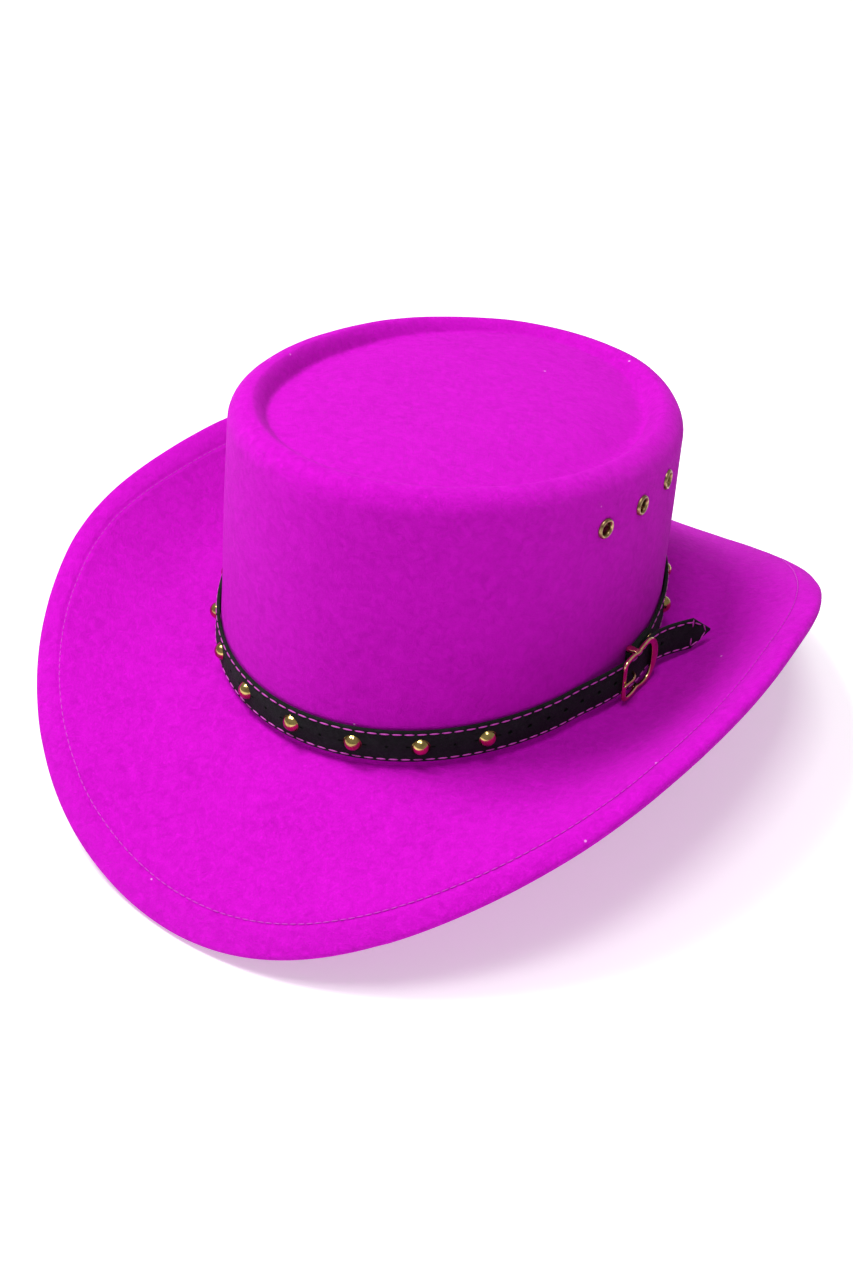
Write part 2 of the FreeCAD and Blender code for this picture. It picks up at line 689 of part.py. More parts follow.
def main():
    os.makedirs("parts", exist_ok=True)
    nodes = {}

    felt = capped_solid(felt_rings())
    bounds = felt.optimalBoundingBox(False, False)
    home = Vector(-(bounds.XMin + bounds.XMax) / 2, -(bounds.YMin + bounds.YMax) / 2, -bounds.ZMin)

    ferrule = wire_hoop(FERRULE_RADIUS).common(across_back(FERRULE_LENGTH))
    wire = wire_hoop(WIRE_RADIUS).cut(across_back(WIRE_GAP))
    felt = felt.cut(ferrule).cut(wire_hoop(WIRE_RADIUS))
    nodes["wire_ferrule"] = ferrule.cut(wire_hoop(WIRE_RADIUS))
    nodes["brim_wire"] = wire
    nodes["sweatband"] = sweatband()

    for side, side_name in ((1, "left"), (-1, "right")):
        for step, place_name in ((-1, "front"), (0, "middle"), (1, "rear")):
            barrel, washer, bore = eyelet(side, step)
            felt = felt.cut(bore)
            nodes["eyelet_%s_%s" % (side_name, place_name)] = barrel
            nodes["eyelet_washer_%s_%s" % (side_name, place_name)] = washer
    nodes["felt_body"] = felt

    table = strap_middle_table()
    strap = hat_band_strap(table)
    studs = []
    for k in range(STUD_COUNT):
        stud = dome_stud()
        stud.Placement = strap_face_place(angle_at(FIRST_STUD - k * STUD_PITCH, table))
        hole = Part.makeCylinder(STUD_SHANK + STUD_PLAY, 2 * STUD_SHANK_DEPTH,
                                 Vector(0, 0, -STUD_SHANK_DEPTH - STUD_PLAY))
        hole.Placement = stud.Placement
        strap = strap.cut(hole)
        studs.append(stud)
    nodes["hat_band_strap"] = strap
    nodes["dome_studs"] = Part.makeCompound(studs)
    nodes["fold_rivets"] = Part.makeCompound([fold_rivet(RIVET_UP), fold_rivet(-RIVET_UP)])
    nodes["buckle_frame"] = buckle_frame()
    nodes["buckle_centre_bar"] = buckle_centre_bar()
    nodes["buckle_prong"] = buckle_prong()

    for name, shape in nodes.items():
        shape.translate(home)
        shape.exportStep("parts/%s.step" % name)
        box = shape.BoundBox
        print("%-28s valid %s solids %d volume %10.1f box %.1f %.1f %.1f" % (
            name, shape.isValid(), len(shape.Solids), shape.Volume, box.XLength, box.YLength, box.ZLength))
    axis = buckle_place()
    print("moved by %.3f %.3f %.3f" % tuple(home))
    print("buckle bar at %.3f %.3f %.3f" % tuple(axis.Base + home))
    print("buckle bar along %.6f %.6f %.6f" % tuple(axis.Rotation.multVec(Vector(0, 0, 1))))


main()
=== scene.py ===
"""Looks of a gambler-style felt hat: felt body, hem, sweatband, eyelets, studded hat band and its buckle.

Lengths in the sections are millimetres about the crown's own axis, with the front of the hat towards -Y and
the wearer's left towards +X. Each piece is moved into the frame, in metres, when its mesh is made.
"""
import json
import math
import bmesh
import bpy
import numpy as np
from mathutils import Matrix, Vector, noise


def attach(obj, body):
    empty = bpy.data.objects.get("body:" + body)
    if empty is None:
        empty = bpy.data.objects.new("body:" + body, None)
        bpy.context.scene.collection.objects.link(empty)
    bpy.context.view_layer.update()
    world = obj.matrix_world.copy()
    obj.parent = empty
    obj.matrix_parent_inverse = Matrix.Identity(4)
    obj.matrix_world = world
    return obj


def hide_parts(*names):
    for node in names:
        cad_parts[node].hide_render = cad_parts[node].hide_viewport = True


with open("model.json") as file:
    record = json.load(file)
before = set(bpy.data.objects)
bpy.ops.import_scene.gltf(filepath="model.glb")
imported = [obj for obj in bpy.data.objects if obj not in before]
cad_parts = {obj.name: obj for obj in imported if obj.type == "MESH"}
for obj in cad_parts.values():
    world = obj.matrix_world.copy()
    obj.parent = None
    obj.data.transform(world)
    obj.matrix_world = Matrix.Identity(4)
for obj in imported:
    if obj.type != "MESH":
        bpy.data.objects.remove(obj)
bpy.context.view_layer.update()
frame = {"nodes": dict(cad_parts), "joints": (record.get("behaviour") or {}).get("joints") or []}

# ---- Felt body ---------------------------------------------------------------------------------------
# One piece of thick wool felt, steamed and pressed over a block: a tapering oval crown with a crease round its
# top, and a brim that is curled up at the sides. The brim's edge is folded under and sewn into a hem, which
# stands out as a slightly turned-down lip.

CROWN_AXIS = np.array((0.0, -10.218, -0.433))    # the crown's axis in the frame
FOOT_LONG, FOOT_WIDE = 105.0, 87.0               # half lengths of the crown's oval foot
TOP_LONG, TOP_WIDE = 108.9, 80.5
FOOT_HEIGHT, FOOT_TILT, FOOT_SADDLE = 52.6, 7.2, 1.4
TOP_HEIGHT, TOP_TILT = 151.2, 11.7
RIM_RADIUS = 9.0
CREASE_INSET, CREASE_SHIFT = 15.4, 0.8
CREASE_DEPTH, TOP_DROP = 7.6, 1.7                # the crease and the dome's middle below the rim
CREASE_LOW_TURN = math.radians(105.0)            # the crease is deepest at the sides, towards this turn
CREASE_LIP = 4.0                                 # from the crease's bottom to the dome
CREASE_MEAN, CREASE_SWING = 0.72, 0.28           # share of the crease's depth, even and by turn
CREASE_WALL_POWER, DOME_POWER = 1.45, 5
WELT = 0.3                                       # soft raised line where the dome meets the crease
EDGE_REACH = (179.0, 166.0, 143.0, 166.0, 199.5) # brim edge every 45 degrees from front to back
EDGE_HEIGHT = (2.4, 48.0, 74.5, 56.6, 2.4)
EDGE_RADIUS = 2.4
BRIM_SETS = ((17.0, 20.0, 5.5), (-22.0, 16.0, 1.8), (70.0, 20.0, -4.2), (118.0, 12.0, 1.8))
BREAK_RADIUS, BREAK_DROP = 3.5, 4.0
HEM_WIDTH, HEM_THICKNESS, FELT = 8.8, 4.2, 2.6
HEM_LIFT = 4.2                                   # the hem's inner line stands this much above an even curl
HEM_GROOVE = 0.5
FELT_COLUMNS = 300
DOME_RINGS, LIP_RINGS, CREASE_RINGS, RIM_RINGS = 26, 5, 16, 12
WALL_RINGS, INNER_WALL_RINGS, SOFTENINGS = 34, 16, 3
BREAK_RINGS, BRIM_RINGS, EDGE_RINGS = 6, 44, 10
HEM_PARTS = (0.04, 0.07, 0.1, 0.14, 0.2, 0.3, 0.45, 0.6, 0.8, 1.0)
CURL_FRONT, CURL_SIDE = 1.3, 0.8                 # how sharply the brim's rise gathers towards its edge
LIFT_MEAN, LIFT_FRONT, LIFT_REACH = 0.7, 0.15, 22.0
GROOVE_PLACE, GROOVE_HALF_WIDTH = 1.1, 0.6       # the stitch groove, from the hem's inner line
RIDGE_HEIGHT, RIDGE_PLACE, RIDGE_HALF_WIDTH = 0.35, -0.4, 0.8
FOLD_STEP = 0.8                                  # the hem's raw edge under the brim
SWAY_FINE, SWAY_COARSE = (0.06, 0.25), (0.021, 0.9)
SWAY_RISE, SWAY_SPREAD = 0.5, 0.004              # unevenness of hand-blocked felt
BAND_SEAT, BAND_SEAT_HALF = 56.0, 9.0            # no unevenness at the height of the hat band
SEAT_LONG, SEAT_WIDE, SWAY_FLOOR = 112.0, 93.0, 25.0
BARREL_HOLE = 2.95
EYELET_HEIGHT, EYELET_STEP = 133.4, 13.0
FELT_BRIGHT = (0.64, 0.004, 0.60, 1.0)
FELT_DEEP = (0.47, 0.002, 0.44, 1.0)
FELT_LINT = (0.90, 0.42, 0.86, 1.0)


def even_curve(values):
    """A smooth even curve round the hat through values spaced evenly from the front to the back."""
    last = len(values) - 1
    terms = []
    for n in range(last + 1):
        total = sum(value * math.cos(n * j * math.pi / last) * (0.5 if j in (0, last) else 1.0)
                    for j, value in enumerate(values))
        terms.append(total * (1.0 if n in (0, last) else 2.0) / last)
    return lambda angle: sum(term * np.cos(n * angle) for n, term in enumerate(terms))


even_reach = even_curve(EDGE_REACH)
edge_height = even_curve(EDGE_HEIGHT)


def edge_reach(angle):
    """Reach of the brim's edge, with the small sets that a brim takes when it is handled."""
    turn = np.degrees((angle + math.pi) % (2 * math.pi) - math.pi)
    return even_reach(angle) + sum(push * np.exp(-((turn - middle) / spread) ** 2)
                                   for middle, spread, push in BRIM_SETS)


def foot_height(angle):
    return FOOT_HEIGHT - FOOT_TILT * np.cos(angle) - FOOT_SADDLE * np.cos(2 * angle)


def top_height(angle):
    return TOP_HEIGHT + TOP_TILT * np.cos(angle)


def crown_wall(angle, height, outset=0.0):
    """Points on the crown's outer wall, or outset from it; the angle runs from the front towards +X."""
    share = (height - foot_height(angle)) / (top_height(angle) - foot_height(angle))
    half_long = FOOT_LONG + (TOP_LONG - FOOT_LONG) * share + outset
    half_wide = FOOT_WIDE + (TOP_WIDE - FOOT_WIDE) * share + outset
    return np.stack([half_wide * np.sin(angle), -half_long * np.cos(angle), height + 0.0 * angle], -1)


def wall_normal(angle, height):
    """Outward normal of the crown's wall at one place."""
    here = crown_wall(angle, height)
    along = crown_wall(angle + 0.01, height) - here
    normal = np.cross(along, crown_wall(angle, height + 1.0) - here)
    return normal / np.linalg.norm(normal)


def crown_top(angle, depth):
    """Rings from the middle of the top out to the wall, moved in by depth to make the inside."""
    inset = CREASE_INSET + CREASE_SHIFT * np.sin(angle)
    deep = CREASE_DEPTH * (CREASE_MEAN + CREASE_SWING * np.cos(2 * (angle - CREASE_LOW_TURN)))
    line = []
    for share in np.linspace(0.02, 1.0, DOME_RINGS):
        drop = TOP_DROP + (deep - TOP_DROP) * share ** DOME_POWER - WELT * share ** (DOME_POWER + 1)
        line.append((share, inset + CREASE_LIP, drop))
    for part in np.linspace(0.2, 1.0, LIP_RINGS):
        line.append((1.0, inset + CREASE_LIP * (1 - part), deep - WELT * (1 - part) ** 2))
    for part in np.linspace(0.06, 0.94, CREASE_RINGS):
        line.append((1.0, inset + (RIM_RADIUS - inset) * part, deep * (1 - part) ** CREASE_WALL_POWER))
    for turn in np.radians(np.linspace(0, 90, RIM_RINGS)):
        line.append((1.0, RIM_RADIUS * (1 - np.sin(turn)), RIM_RADIUS * (1 - np.cos(turn))))
    rings = []
    for share, from_wall, drop in line:
        edge = crown_wall(angle, top_height(angle) - drop - depth, -np.maximum(from_wall, depth))
        height = TOP_HEIGHT - TOP_TILT * edge[:, 1] * share / TOP_LONG - drop - depth
        rings.append(np.stack([edge[:, 0] * share, edge[:, 1] * share, height], -1))
    rings = np.array(rings)
    first, last = DOME_RINGS - LIP_RINGS - 1, len(rings) - RIM_RINGS
    for _ in range(SOFTENINGS):
        rings[first:last] = (rings[first - 1:last - 1] + 2 * rings[first:last] + rings[first + 1:last + 1]) / 4
    return list(rings)


def crown_side(angle, depth, count):
    high = top_height(angle) - RIM_RADIUS
    low = foot_height(angle) - BREAK_DROP + BREAK_RADIUS
    parts = np.linspace(0, 1, count + 1)[1:]
    return [crown_wall(angle, high + (low - high) * part, -depth) for part in parts]


def brim_rings(angle):
    """Rings from the break out over the brim's top, round its edge, and back along the underside."""
    start = crown_wall(angle, foot_height(angle) - BREAK_DROP)
    end = np.stack([edge_reach(angle) * np.sin(angle), -edge_reach(angle) * np.cos(angle)], -1)
    outward = end - start[:, :2]
    length = np.linalg.norm(outward, axis=1)
    outward /= length[:, None]
    low = start[:, 2]
    curl = CURL_FRONT + CURL_SIDE * np.sin(angle) ** 2
    span = length - BREAK_RADIUS
    run, rise = [], []
    for turn in np.radians(np.linspace(12, 78, BREAK_RINGS)):
        run.append(BREAK_RADIUS * (1 - np.cos(turn)) + 0 * low)
        rise.append(low + BREAK_RADIUS * (1 - np.sin(turn)))
    hem = 1 - HEM_WIDTH / span
    shares = [hem * part for part in np.linspace(0, 1, BRIM_RINGS)]
    shares += [1 - HEM_WIDTH / span * (1 - part) for part in HEM_PARTS]
    for share in shares:
        past = (share - hem) * span
        rolled = 1 - (past / HEM_WIDTH) ** 2.0 if np.all(past >= 0) else 1.0
        lift = HEM_LIFT * np.where(past > 0, rolled, np.exp(-(past / LIFT_REACH) ** 2))
        lift = lift * (LIFT_MEAN + LIFT_FRONT * np.cos(angle))
        groove = HEM_GROOVE * np.exp(-((past - GROOVE_PLACE) / GROOVE_HALF_WIDTH) ** 2)
        groove = groove - RIDGE_HEIGHT * np.exp(-((past - RIDGE_PLACE) / RIDGE_HALF_WIDTH) ** 2)
        run.append(BREAK_RADIUS + span * share)
        rise.append(low + (edge_height(angle) + EDGE_RADIUS - low) * share ** curl + lift - groove)
    run, rise = np.array(run), np.array(rise)
    slope_run, slope_rise = np.gradient(run, axis=0), np.gradient(rise, axis=0)
    size = np.hypot(slope_run, slope_rise)
    across, up = -slope_rise / size, slope_run / size
    line = [(run[k], rise[k]) for k in range(len(run))]
    middle_run, middle_rise = run[-1] - EDGE_RADIUS * across[-1], rise[-1] - EDGE_RADIUS * up[-1]
    for turn in -np.radians(np.linspace(18, 180, EDGE_RINGS)):
        c, s = math.cos(turn), math.sin(turn)
        line.append((middle_run + EDGE_RADIUS * (across[-1] * c - up[-1] * s),
                     middle_rise + EDGE_RADIUS * (across[-1] * s + up[-1] * c)))
    for k in range(len(run) - 2, BREAK_RINGS - 1, -1):
        past = (run[k] - run[-1] + HEM_WIDTH) / FOLD_STEP
        thick = FELT + (HEM_THICKNESS - FELT) * np.clip(past + 0.5, 0, 1)
        line.append((run[k] - thick * across[k], rise[k] - thick * up[k]))
    line.append((-FELT * 0.55 + 0 * low, low - FELT * 0.85))
    return [np.column_stack([start[:, :2] + outward * x[:, None], z]) for x, z in line]


def into_frame(points):
    """Hat millimetres to the frame's metres."""
    return (np.asarray(points, float) + CROWN_AXIS) * 0.001


def mesh_piece(name, points, faces, sharp=40.0):
    """A smooth-shaded mesh object at the origin from points in the frame."""
    mesh = bpy.data.meshes.new(name)
    mesh.from_pydata([tuple(p) for p in points], [], [tuple(f) for f in faces])
    return finish_mesh(name, mesh, sharp)


def finish_mesh(name, mesh, sharp=40.0):
    """Turns a closed mesh's faces outwards, shades it smooth, and puts it in the scene."""
    shell = bmesh.new()
    shell.from_mesh(mesh)
    bmesh.ops.recalc_face_normals(shell, faces=shell.faces)
    shell.to_mesh(mesh)
    shell.free()
    mesh.polygons.foreach_set("use_smooth", [True] * len(mesh.polygons))
    mesh.set_sharp_from_angle(angle=math.radians(sharp))
    mesh.name = name
    piece = bpy.data.objects.new(name, mesh)
    bpy.context.scene.collection.objects.link(piece)
    return piece


def ring_faces(ring_count, columns, hoop=False):
    """Faces between rings; a hoop joins its last ring to its first, and other shapes end in two poles."""
    faces = []
    for r in range(ring_count if hoop else ring_count - 1):
        here, there = r * columns, (r + 1) % ring_count * columns
        for c in range(columns):
            d = (c + 1) % columns
            faces.append((here + c, here + d, there + d, there + c))
    if not hoop:
        first, last = ring_count * columns, ring_count * columns + 1
        for c in range(columns):
            d = (c + 1) % columns
            faces.append((first, d, c))
            faces.append((last, (ring_count - 1) * columns + c, (ring_count - 1) * columns + d))
    return faces


def ring_piece(name, rings, hoop=False, sharp=40.0):
    points = np.concatenate(rings)
    if not hoop:
        points = np.concatenate([points, [rings[0].mean(0), rings[-1].mean(0)]])
    return mesh_piece(name, into_frame(points), ring_faces(len(rings), len(rings[0]), hoop), sharp)


def cut_with(piece, cutter, sharp=40.0):
    """The piece with the cutter taken away; both are closed meshes."""
    modifier = piece.modifiers.new("cut", "BOOLEAN")
    modifier.operation = "DIFFERENCE"
    modifier.solver = "MANIFOLD"
    modifier.object = cutter
    name = piece.name
    bpy.context.view_layer.update()
    mesh = bpy.data.meshes.new_from_object(piece.evaluated_get(bpy.context.evaluated_depsgraph_get()))
    bpy.data.objects.remove(cutter)
    bpy.data.objects.remove(piece)
    return finish_mesh(name, mesh, sharp)


def lathe(profile, columns):
    """Points and faces of a closed profile of (radius, height) turned about Z."""
    turn = np.linspace(0, 2 * math.pi, columns, endpoint=False)
    rings = [np.stack([r * np.cos(turn), r * np.sin(turn), z + 0 * turn], -1) for r, z in profile]
    return np.concatenate(rings), ring_faces(len(rings), columns, hoop=True)


def place_at(origin, normal, along=None):
    """A 4x4 placement with Z along the normal and X as near as it can be to the given direction."""
    z = np.asarray(normal, float) / np.linalg.norm(normal)
    x = np.asarray((0.0, 0.0, 1.0) if along is None else along, float)
    x = x - z * x.dot(z)
    x /= np.linalg.norm(x)
    placed = np.eye(4)
    placed[:3, 0], placed[:3, 1], placed[:3, 2], placed[:3, 3] = x, np.cross(z, x), z, origin
    return placed


def joined(shapes):
    """Several (points, faces) shapes with placements, as one."""
    points, faces, count = [], [], 0
    for shape_points, shape_faces, placed in shapes:
        points.append(np.asarray(shape_points) @ placed[:3, :3].T + placed[:3, 3])
        faces += [tuple(i + count for i in face) for face in shape_faces]
        count += len(shape_points)
    return np.concatenate(points), faces


def rod(radius, low, high, columns=32):
    """Points and faces of a closed round rod along Z."""
    turn = np.linspace(0, 2 * math.pi, columns, endpoint=False)
    ring = np.stack([radius * np.cos(turn), radius * np.sin(turn), 0 * turn], -1)
    points = np.concatenate([ring + (0, 0, low), ring + (0, 0, high)])
    faces = [(c, (c + 1) % columns, columns + (c + 1) % columns, columns + c) for c in range(columns)]
    faces += [tuple(range(columns))[::-1], tuple(range(columns, 2 * columns))]
    return points, faces


around = np.linspace(0, 2 * math.pi, FELT_COLUMNS, endpoint=False)
felt_rings = crown_top(around, 0.0) + crown_side(around, 0.0, WALL_RINGS) + brim_rings(around)
felt_rings += crown_side(around, FELT, INNER_WALL_RINGS)[::-1] + crown_top(around, FELT)[::-1]
for ring in felt_rings:
    for point in ring:
        seated = abs(point[1]) < SEAT_LONG and abs(point[0]) < SEAT_WIDE
        band = math.exp(-((point[2] - BAND_SEAT) / BAND_SEAT_HALF) ** 2) if seated else 0.0
        sway = sum(noise.noise(Vector(point) * pitch) * size for pitch, size in (SWAY_COARSE, SWAY_FINE))
        point[2] += sway * SWAY_RISE * (1 - band)
        if point[2] > SWAY_FLOOR:
            point[:2] *= 1 + SWAY_SPREAD * sway * (1 - band)
felt = ring_piece("felt_hat", felt_rings, sharp=60.0)

eyelet_places = []
for side in (1, -1):
    for step in (-1, 0, 1):
        turn = math.radians(90 + step * EYELET_STEP) * side
        eyelet_places.append(place_at(crown_wall(turn, EYELET_HEIGHT), wall_normal(turn, EYELET_HEIGHT)))
hole_points, hole_faces = joined([(*rod(BARREL_HOLE, -10.0, 10.0), place) for place in eyelet_places])
felt = cut_with(felt, mesh_piece("eyelet_holes", into_frame(hole_points), hole_faces), sharp=60.0)


def add_node(tree, kind, inputs=(), **settings):
    """A node with its settings, and its inputs as values or as other nodes' outputs."""
    made = tree.nodes.new(kind)
    for key, value in settings.items():
        setattr(made, key, value)
    for key, value in dict(inputs).items():
        if isinstance(value, bpy.types.NodeSocket):
            tree.links.new(value, made.inputs[key])
        else:
            made.inputs[key].default_value = value
    return made


def plain_material(name):
    """A new material's tree and its Principled shader."""
    material = bpy.data.materials.new(name)
    material.use_nodes = True
    return material, material.node_tree, material.node_tree.nodes["Principled BSDF"]


def effect_group(name, inputs, outputs):
    """A shader group with named inputs (name, kind, value) and outputs (name, kind)."""
    group = bpy.data.node_groups.new(name, "ShaderNodeTree")
    for label, kind, value in inputs:
        socket = group.interface.new_socket(label, in_out="INPUT", socket_type=kind)
        if value is not None:
            socket.default_value = value
    for label, kind in outputs:
        group.interface.new_socket(label, in_out="OUTPUT", socket_type=kind)
    return group, add_node(group, "NodeGroupInput").outputs, add_node(group, "NodeGroupOutput").inputs


def nap_group():
    """Short tangled fibres: clumps, single curved fibres, and the height of both."""
    group, given, put = effect_group(
        "fibre_nap",
        (("Place", "NodeSocketVector", None), ("Fibre Scale", "NodeSocketFloat", 900.0),
         ("Clump Scale", "NodeSocketFloat", 260.0), ("Tangle", "NodeSocketFloat", 1.5)),
        (("Clumps", "NodeSocketFloat"), ("Fibres", "NodeSocketFloat"), ("Height", "NodeSocketFloat")))
    clumps = add_node(group, "ShaderNodeTexNoise", {
        "Vector": given["Place"], "Scale": given["Clump Scale"], "Detail": 5.0, "Roughness": 0.62,
        "Distortion": 0.8})
    lines = []
    for share in (1.0, 0.57):
        scale = add_node(group, "ShaderNodeMath", {0: given["Fibre Scale"], 1: share}, operation="MULTIPLY")
        strand = add_node(group, "ShaderNodeTexNoise", {
            "Vector": given["Place"], "Scale": scale.outputs[0], "Detail": 2.0, "Roughness": 0.5,
            "Distortion": given["Tangle"]})
        off = add_node(group, "ShaderNodeMath", {0: strand.outputs["Fac"], 1: 0.5}, operation="SUBTRACT")
        size = add_node(group, "ShaderNodeMath", {0: off.outputs[0]}, operation="ABSOLUTE")
        line = add_node(group, "ShaderNodeMapRange", {
            "Value": size.outputs[0], "From Min": 0.0, "From Max": 0.07, "To Min": 1.0, "To Max": 0.0},
            interpolation_type="SMOOTHSTEP")
        lines.append(line.outputs["Result"])
    fibres = add_node(group, "ShaderNodeMath", {0: lines[0], 1: lines[1]}, operation="MAXIMUM")
    height = add_node(group, "ShaderNodeMath", {0: fibres.outputs[0], 1: clumps.outputs["Fac"]},
                      operation="ADD")
    group.links.new(clumps.outputs["Fac"], put["Clumps"])
    group.links.new(fibres.outputs[0], put["Fibres"])
    group.links.new(height.outputs[0], put["Height"])
    return group


FIBRE_NAP = nap_group()


def nap_on(tree, fibre_scale, clump_scale, tangle):
    """The fibre nap placed in a material on the piece's own coordinates."""
    place = add_node(tree, "ShaderNodeTexCoord").outputs["Object"]
    nap = add_node(tree, "ShaderNodeGroup", node_tree=FIBRE_NAP)
    tree.links.new(place, nap.inputs["Place"])
    nap.inputs["Fibre Scale"].default_value = fibre_scale
    nap.inputs["Clump Scale"].default_value = clump_scale
    nap.inputs["Tangle"].default_value = tangle
    return place, nap.outputs


def blend_colour(tree, share, one, two, kind="MIX"):
    """Colour one turning to colour two by share; each is a colour or an output."""
    mix = add_node(tree, "ShaderNodeMix", data_type="RGBA", blend_type=kind)
    for slot, value in ((0, share), (6, one), (7, two)):
        if isinstance(value, bpy.types.NodeSocket):
            tree.links.new(value, mix.inputs[slot])
        else:
            mix.inputs[slot].default_value = value
    return mix.outputs[2]


def ranged(tree, value, low, high, to_low, to_high):
    """A value mapped from one range to another, and kept inside it."""
    return add_node(tree, "ShaderNodeMapRange", {"Value": value, "From Min": low, "From Max": high,
                                                 "To Min": to_low, "To Max": to_high}).outputs["Result"]


def felt_material():
    material, tree, shader = plain_material("magenta_felt")
    place, nap = nap_on(tree, 620.0, 300.0, 2.2)
    mottle = add_node(tree, "ShaderNodeTexNoise", {"Vector": place, "Scale": 46.0, "Detail": 4.0,
                                                   "Roughness": 0.6})
    lint = add_node(tree, "ShaderNodeTexVoronoi", {"Vector": place, "Scale": 52.0, "Randomness": 1.0})
    base = blend_colour(tree, ranged(tree, nap["Clumps"], 0.30, 0.68, 0.0, 1.0), FELT_DEEP, FELT_BRIGHT)
    base = blend_colour(tree, ranged(tree, mottle.outputs["Fac"], 0.35, 0.65, 0.0, 0.35), base, FELT_BRIGHT)
    base = blend_colour(tree, ranged(tree, nap["Fibres"], 0.2, 1.0, 0.0, 0.30), base, FELT_BRIGHT)
    base = blend_colour(tree, ranged(tree, lint.outputs["Distance"], 0.018, 0.03, 0.75, 0.0), base, FELT_LINT)
    tree.links.new(base, shader.inputs["Base Color"])
    tree.links.new(ranged(tree, nap["Clumps"], 0.3, 0.7, 0.98, 0.84), shader.inputs["Roughness"])
    bump = add_node(tree, "ShaderNodeBump", {"Strength": 0.55, "Distance": 0.0004, "Height": nap["Height"]})
    tree.links.new(bump.outputs["Normal"], shader.inputs["Normal"])
    shader.inputs["Specular IOR Level"].default_value = 0.06
    shader.inputs["Sheen Weight"].default_value = 0.10
    shader.inputs["Sheen Roughness"].default_value = 0.45
    shader.inputs["Sheen Tint"].default_value = (1.0, 0.20, 0.96, 1.0)
    return material


FELT_MATERIAL = felt_material()
felt.data.materials.clear()
felt.data.materials.append(FELT_MATERIAL)
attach(felt, "hat")
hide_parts("felt_body")

# ---- Hem stitching -----------------------------------------------------------------------------------
# A row of thread, a shade paler than the felt, that holds the folded hem down 9 mm in from the brim's edge.
# The stitches lie in a fine groove that the thread pulls into the top of the felt.

HEM_STITCH, HEM_STITCH_GAP, HEM_THREAD = 2.9, 0.25, 0.24
THREAD_PALE = (0.70, 0.020, 0.66, 1.0)


def stitch_tree():
    """Geometry nodes: rounded stitches laid end to end along a path."""
    tree = bpy.data.node_groups.new("stitches_along_path", "GeometryNodeTree")
    for label, kind in (("Path", "NodeSocketGeometry"), ("Stitch", "NodeSocketFloat"),
                        ("Gap", "NodeSocketFloat"), ("Thread Radius", "NodeSocketFloat"),
                        ("Thread", "NodeSocketMaterial")):
        tree.interface.new_socket(label, in_out="INPUT", socket_type=kind)
    tree.interface.new_socket("Stitches", in_out="OUTPUT", socket_type="NodeSocketGeometry")
    given = add_node(tree, "NodeGroupInput").outputs
    curve = add_node(tree, "GeometryNodeMeshToCurve", {0: given["Path"]})
    pitch = add_node(tree, "ShaderNodeMath", {0: given["Stitch"], 1: given["Gap"]}, operation="ADD")
    even = add_node(tree, "GeometryNodeResampleCurve", {0: curve.outputs[0]}, mode="LENGTH")
    tree.links.new(pitch.outputs[0], even.inputs["Length"])
    ahead = add_node(tree, "GeometryNodeInputTangent")
    turned = add_node(tree, "FunctionNodeAlignRotationToVector", {"Vector": ahead.outputs[0]}, axis="X")
    grain = add_node(tree, "GeometryNodeMeshUVSphere", {"Segments": 8, "Rings": 6, "Radius": 1.0})
    half = add_node(tree, "ShaderNodeMath", {0: given["Stitch"], 1: 0.5}, operation="MULTIPLY")
    size = add_node(tree, "ShaderNodeCombineXYZ", {0: half.outputs[0], 1: given["Thread Radius"],
                                                   2: given["Thread Radius"]})
    laid = add_node(tree, "GeometryNodeInstanceOnPoints", {
        "Points": even.outputs[0], "Instance": grain.outputs["Mesh"], "Rotation": turned.outputs[0],
        "Scale": size.outputs[0]})
    solid = add_node(tree, "GeometryNodeRealizeInstances", {0: laid.outputs[0]})
    coated = add_node(tree, "GeometryNodeSetMaterial", {"Geometry": solid.outputs[0],
                                                        "Material": given["Thread"]})
    put = add_node(tree, "NodeGroupOutput")
    tree.links.new(coated.outputs[0], put.inputs[0])
    return tree


STITCHES = stitch_tree()


def grown(name, tree, source, values, sharp=40.0):
    """A plain mesh piece from a geometry-nodes tree run on a source mesh."""
    holder = bpy.data.objects.new(name + "_source", source)
    bpy.context.scene.collection.objects.link(holder)
    modifier = holder.modifiers.new("grow", "NODES")
    modifier.node_group = tree
    for item in tree.interface.items_tree:
        if item.in_out == "INPUT" and item.name in values:
            modifier[item.identifier] = values[item.name]
    bpy.context.view_layer.update()
    mesh = bpy.data.meshes.new_from_object(holder.evaluated_get(bpy.context.evaluated_depsgraph_get()))
    holder.modifiers.remove(modifier)
    bpy.data.objects.remove(holder)
    return finish_mesh(name, mesh, sharp)


def path_mesh(name, runs):
    """Edges through each run of points, in the frame; a run marked closed ends where it starts."""
    points, edges = [], []
    for run, closed in runs:
        first = len(points)
        points += [tuple(p) for p in into_frame(run)]
        edges += [(k, k + 1) for k in range(first, len(points) - 1)]
        if closed:
            edges.append((len(points) - 1, first))
    mesh = bpy.data.meshes.new(name)
    mesh.from_pydata(points, edges, [])
    return mesh


def stitched(name, runs, stitch, gap, radius, thread):
    return grown(name, STITCHES, path_mesh(name, runs), {
        "Stitch": stitch * 0.001, "Gap": gap * 0.001, "Thread Radius": radius * 0.001, "Thread": thread})


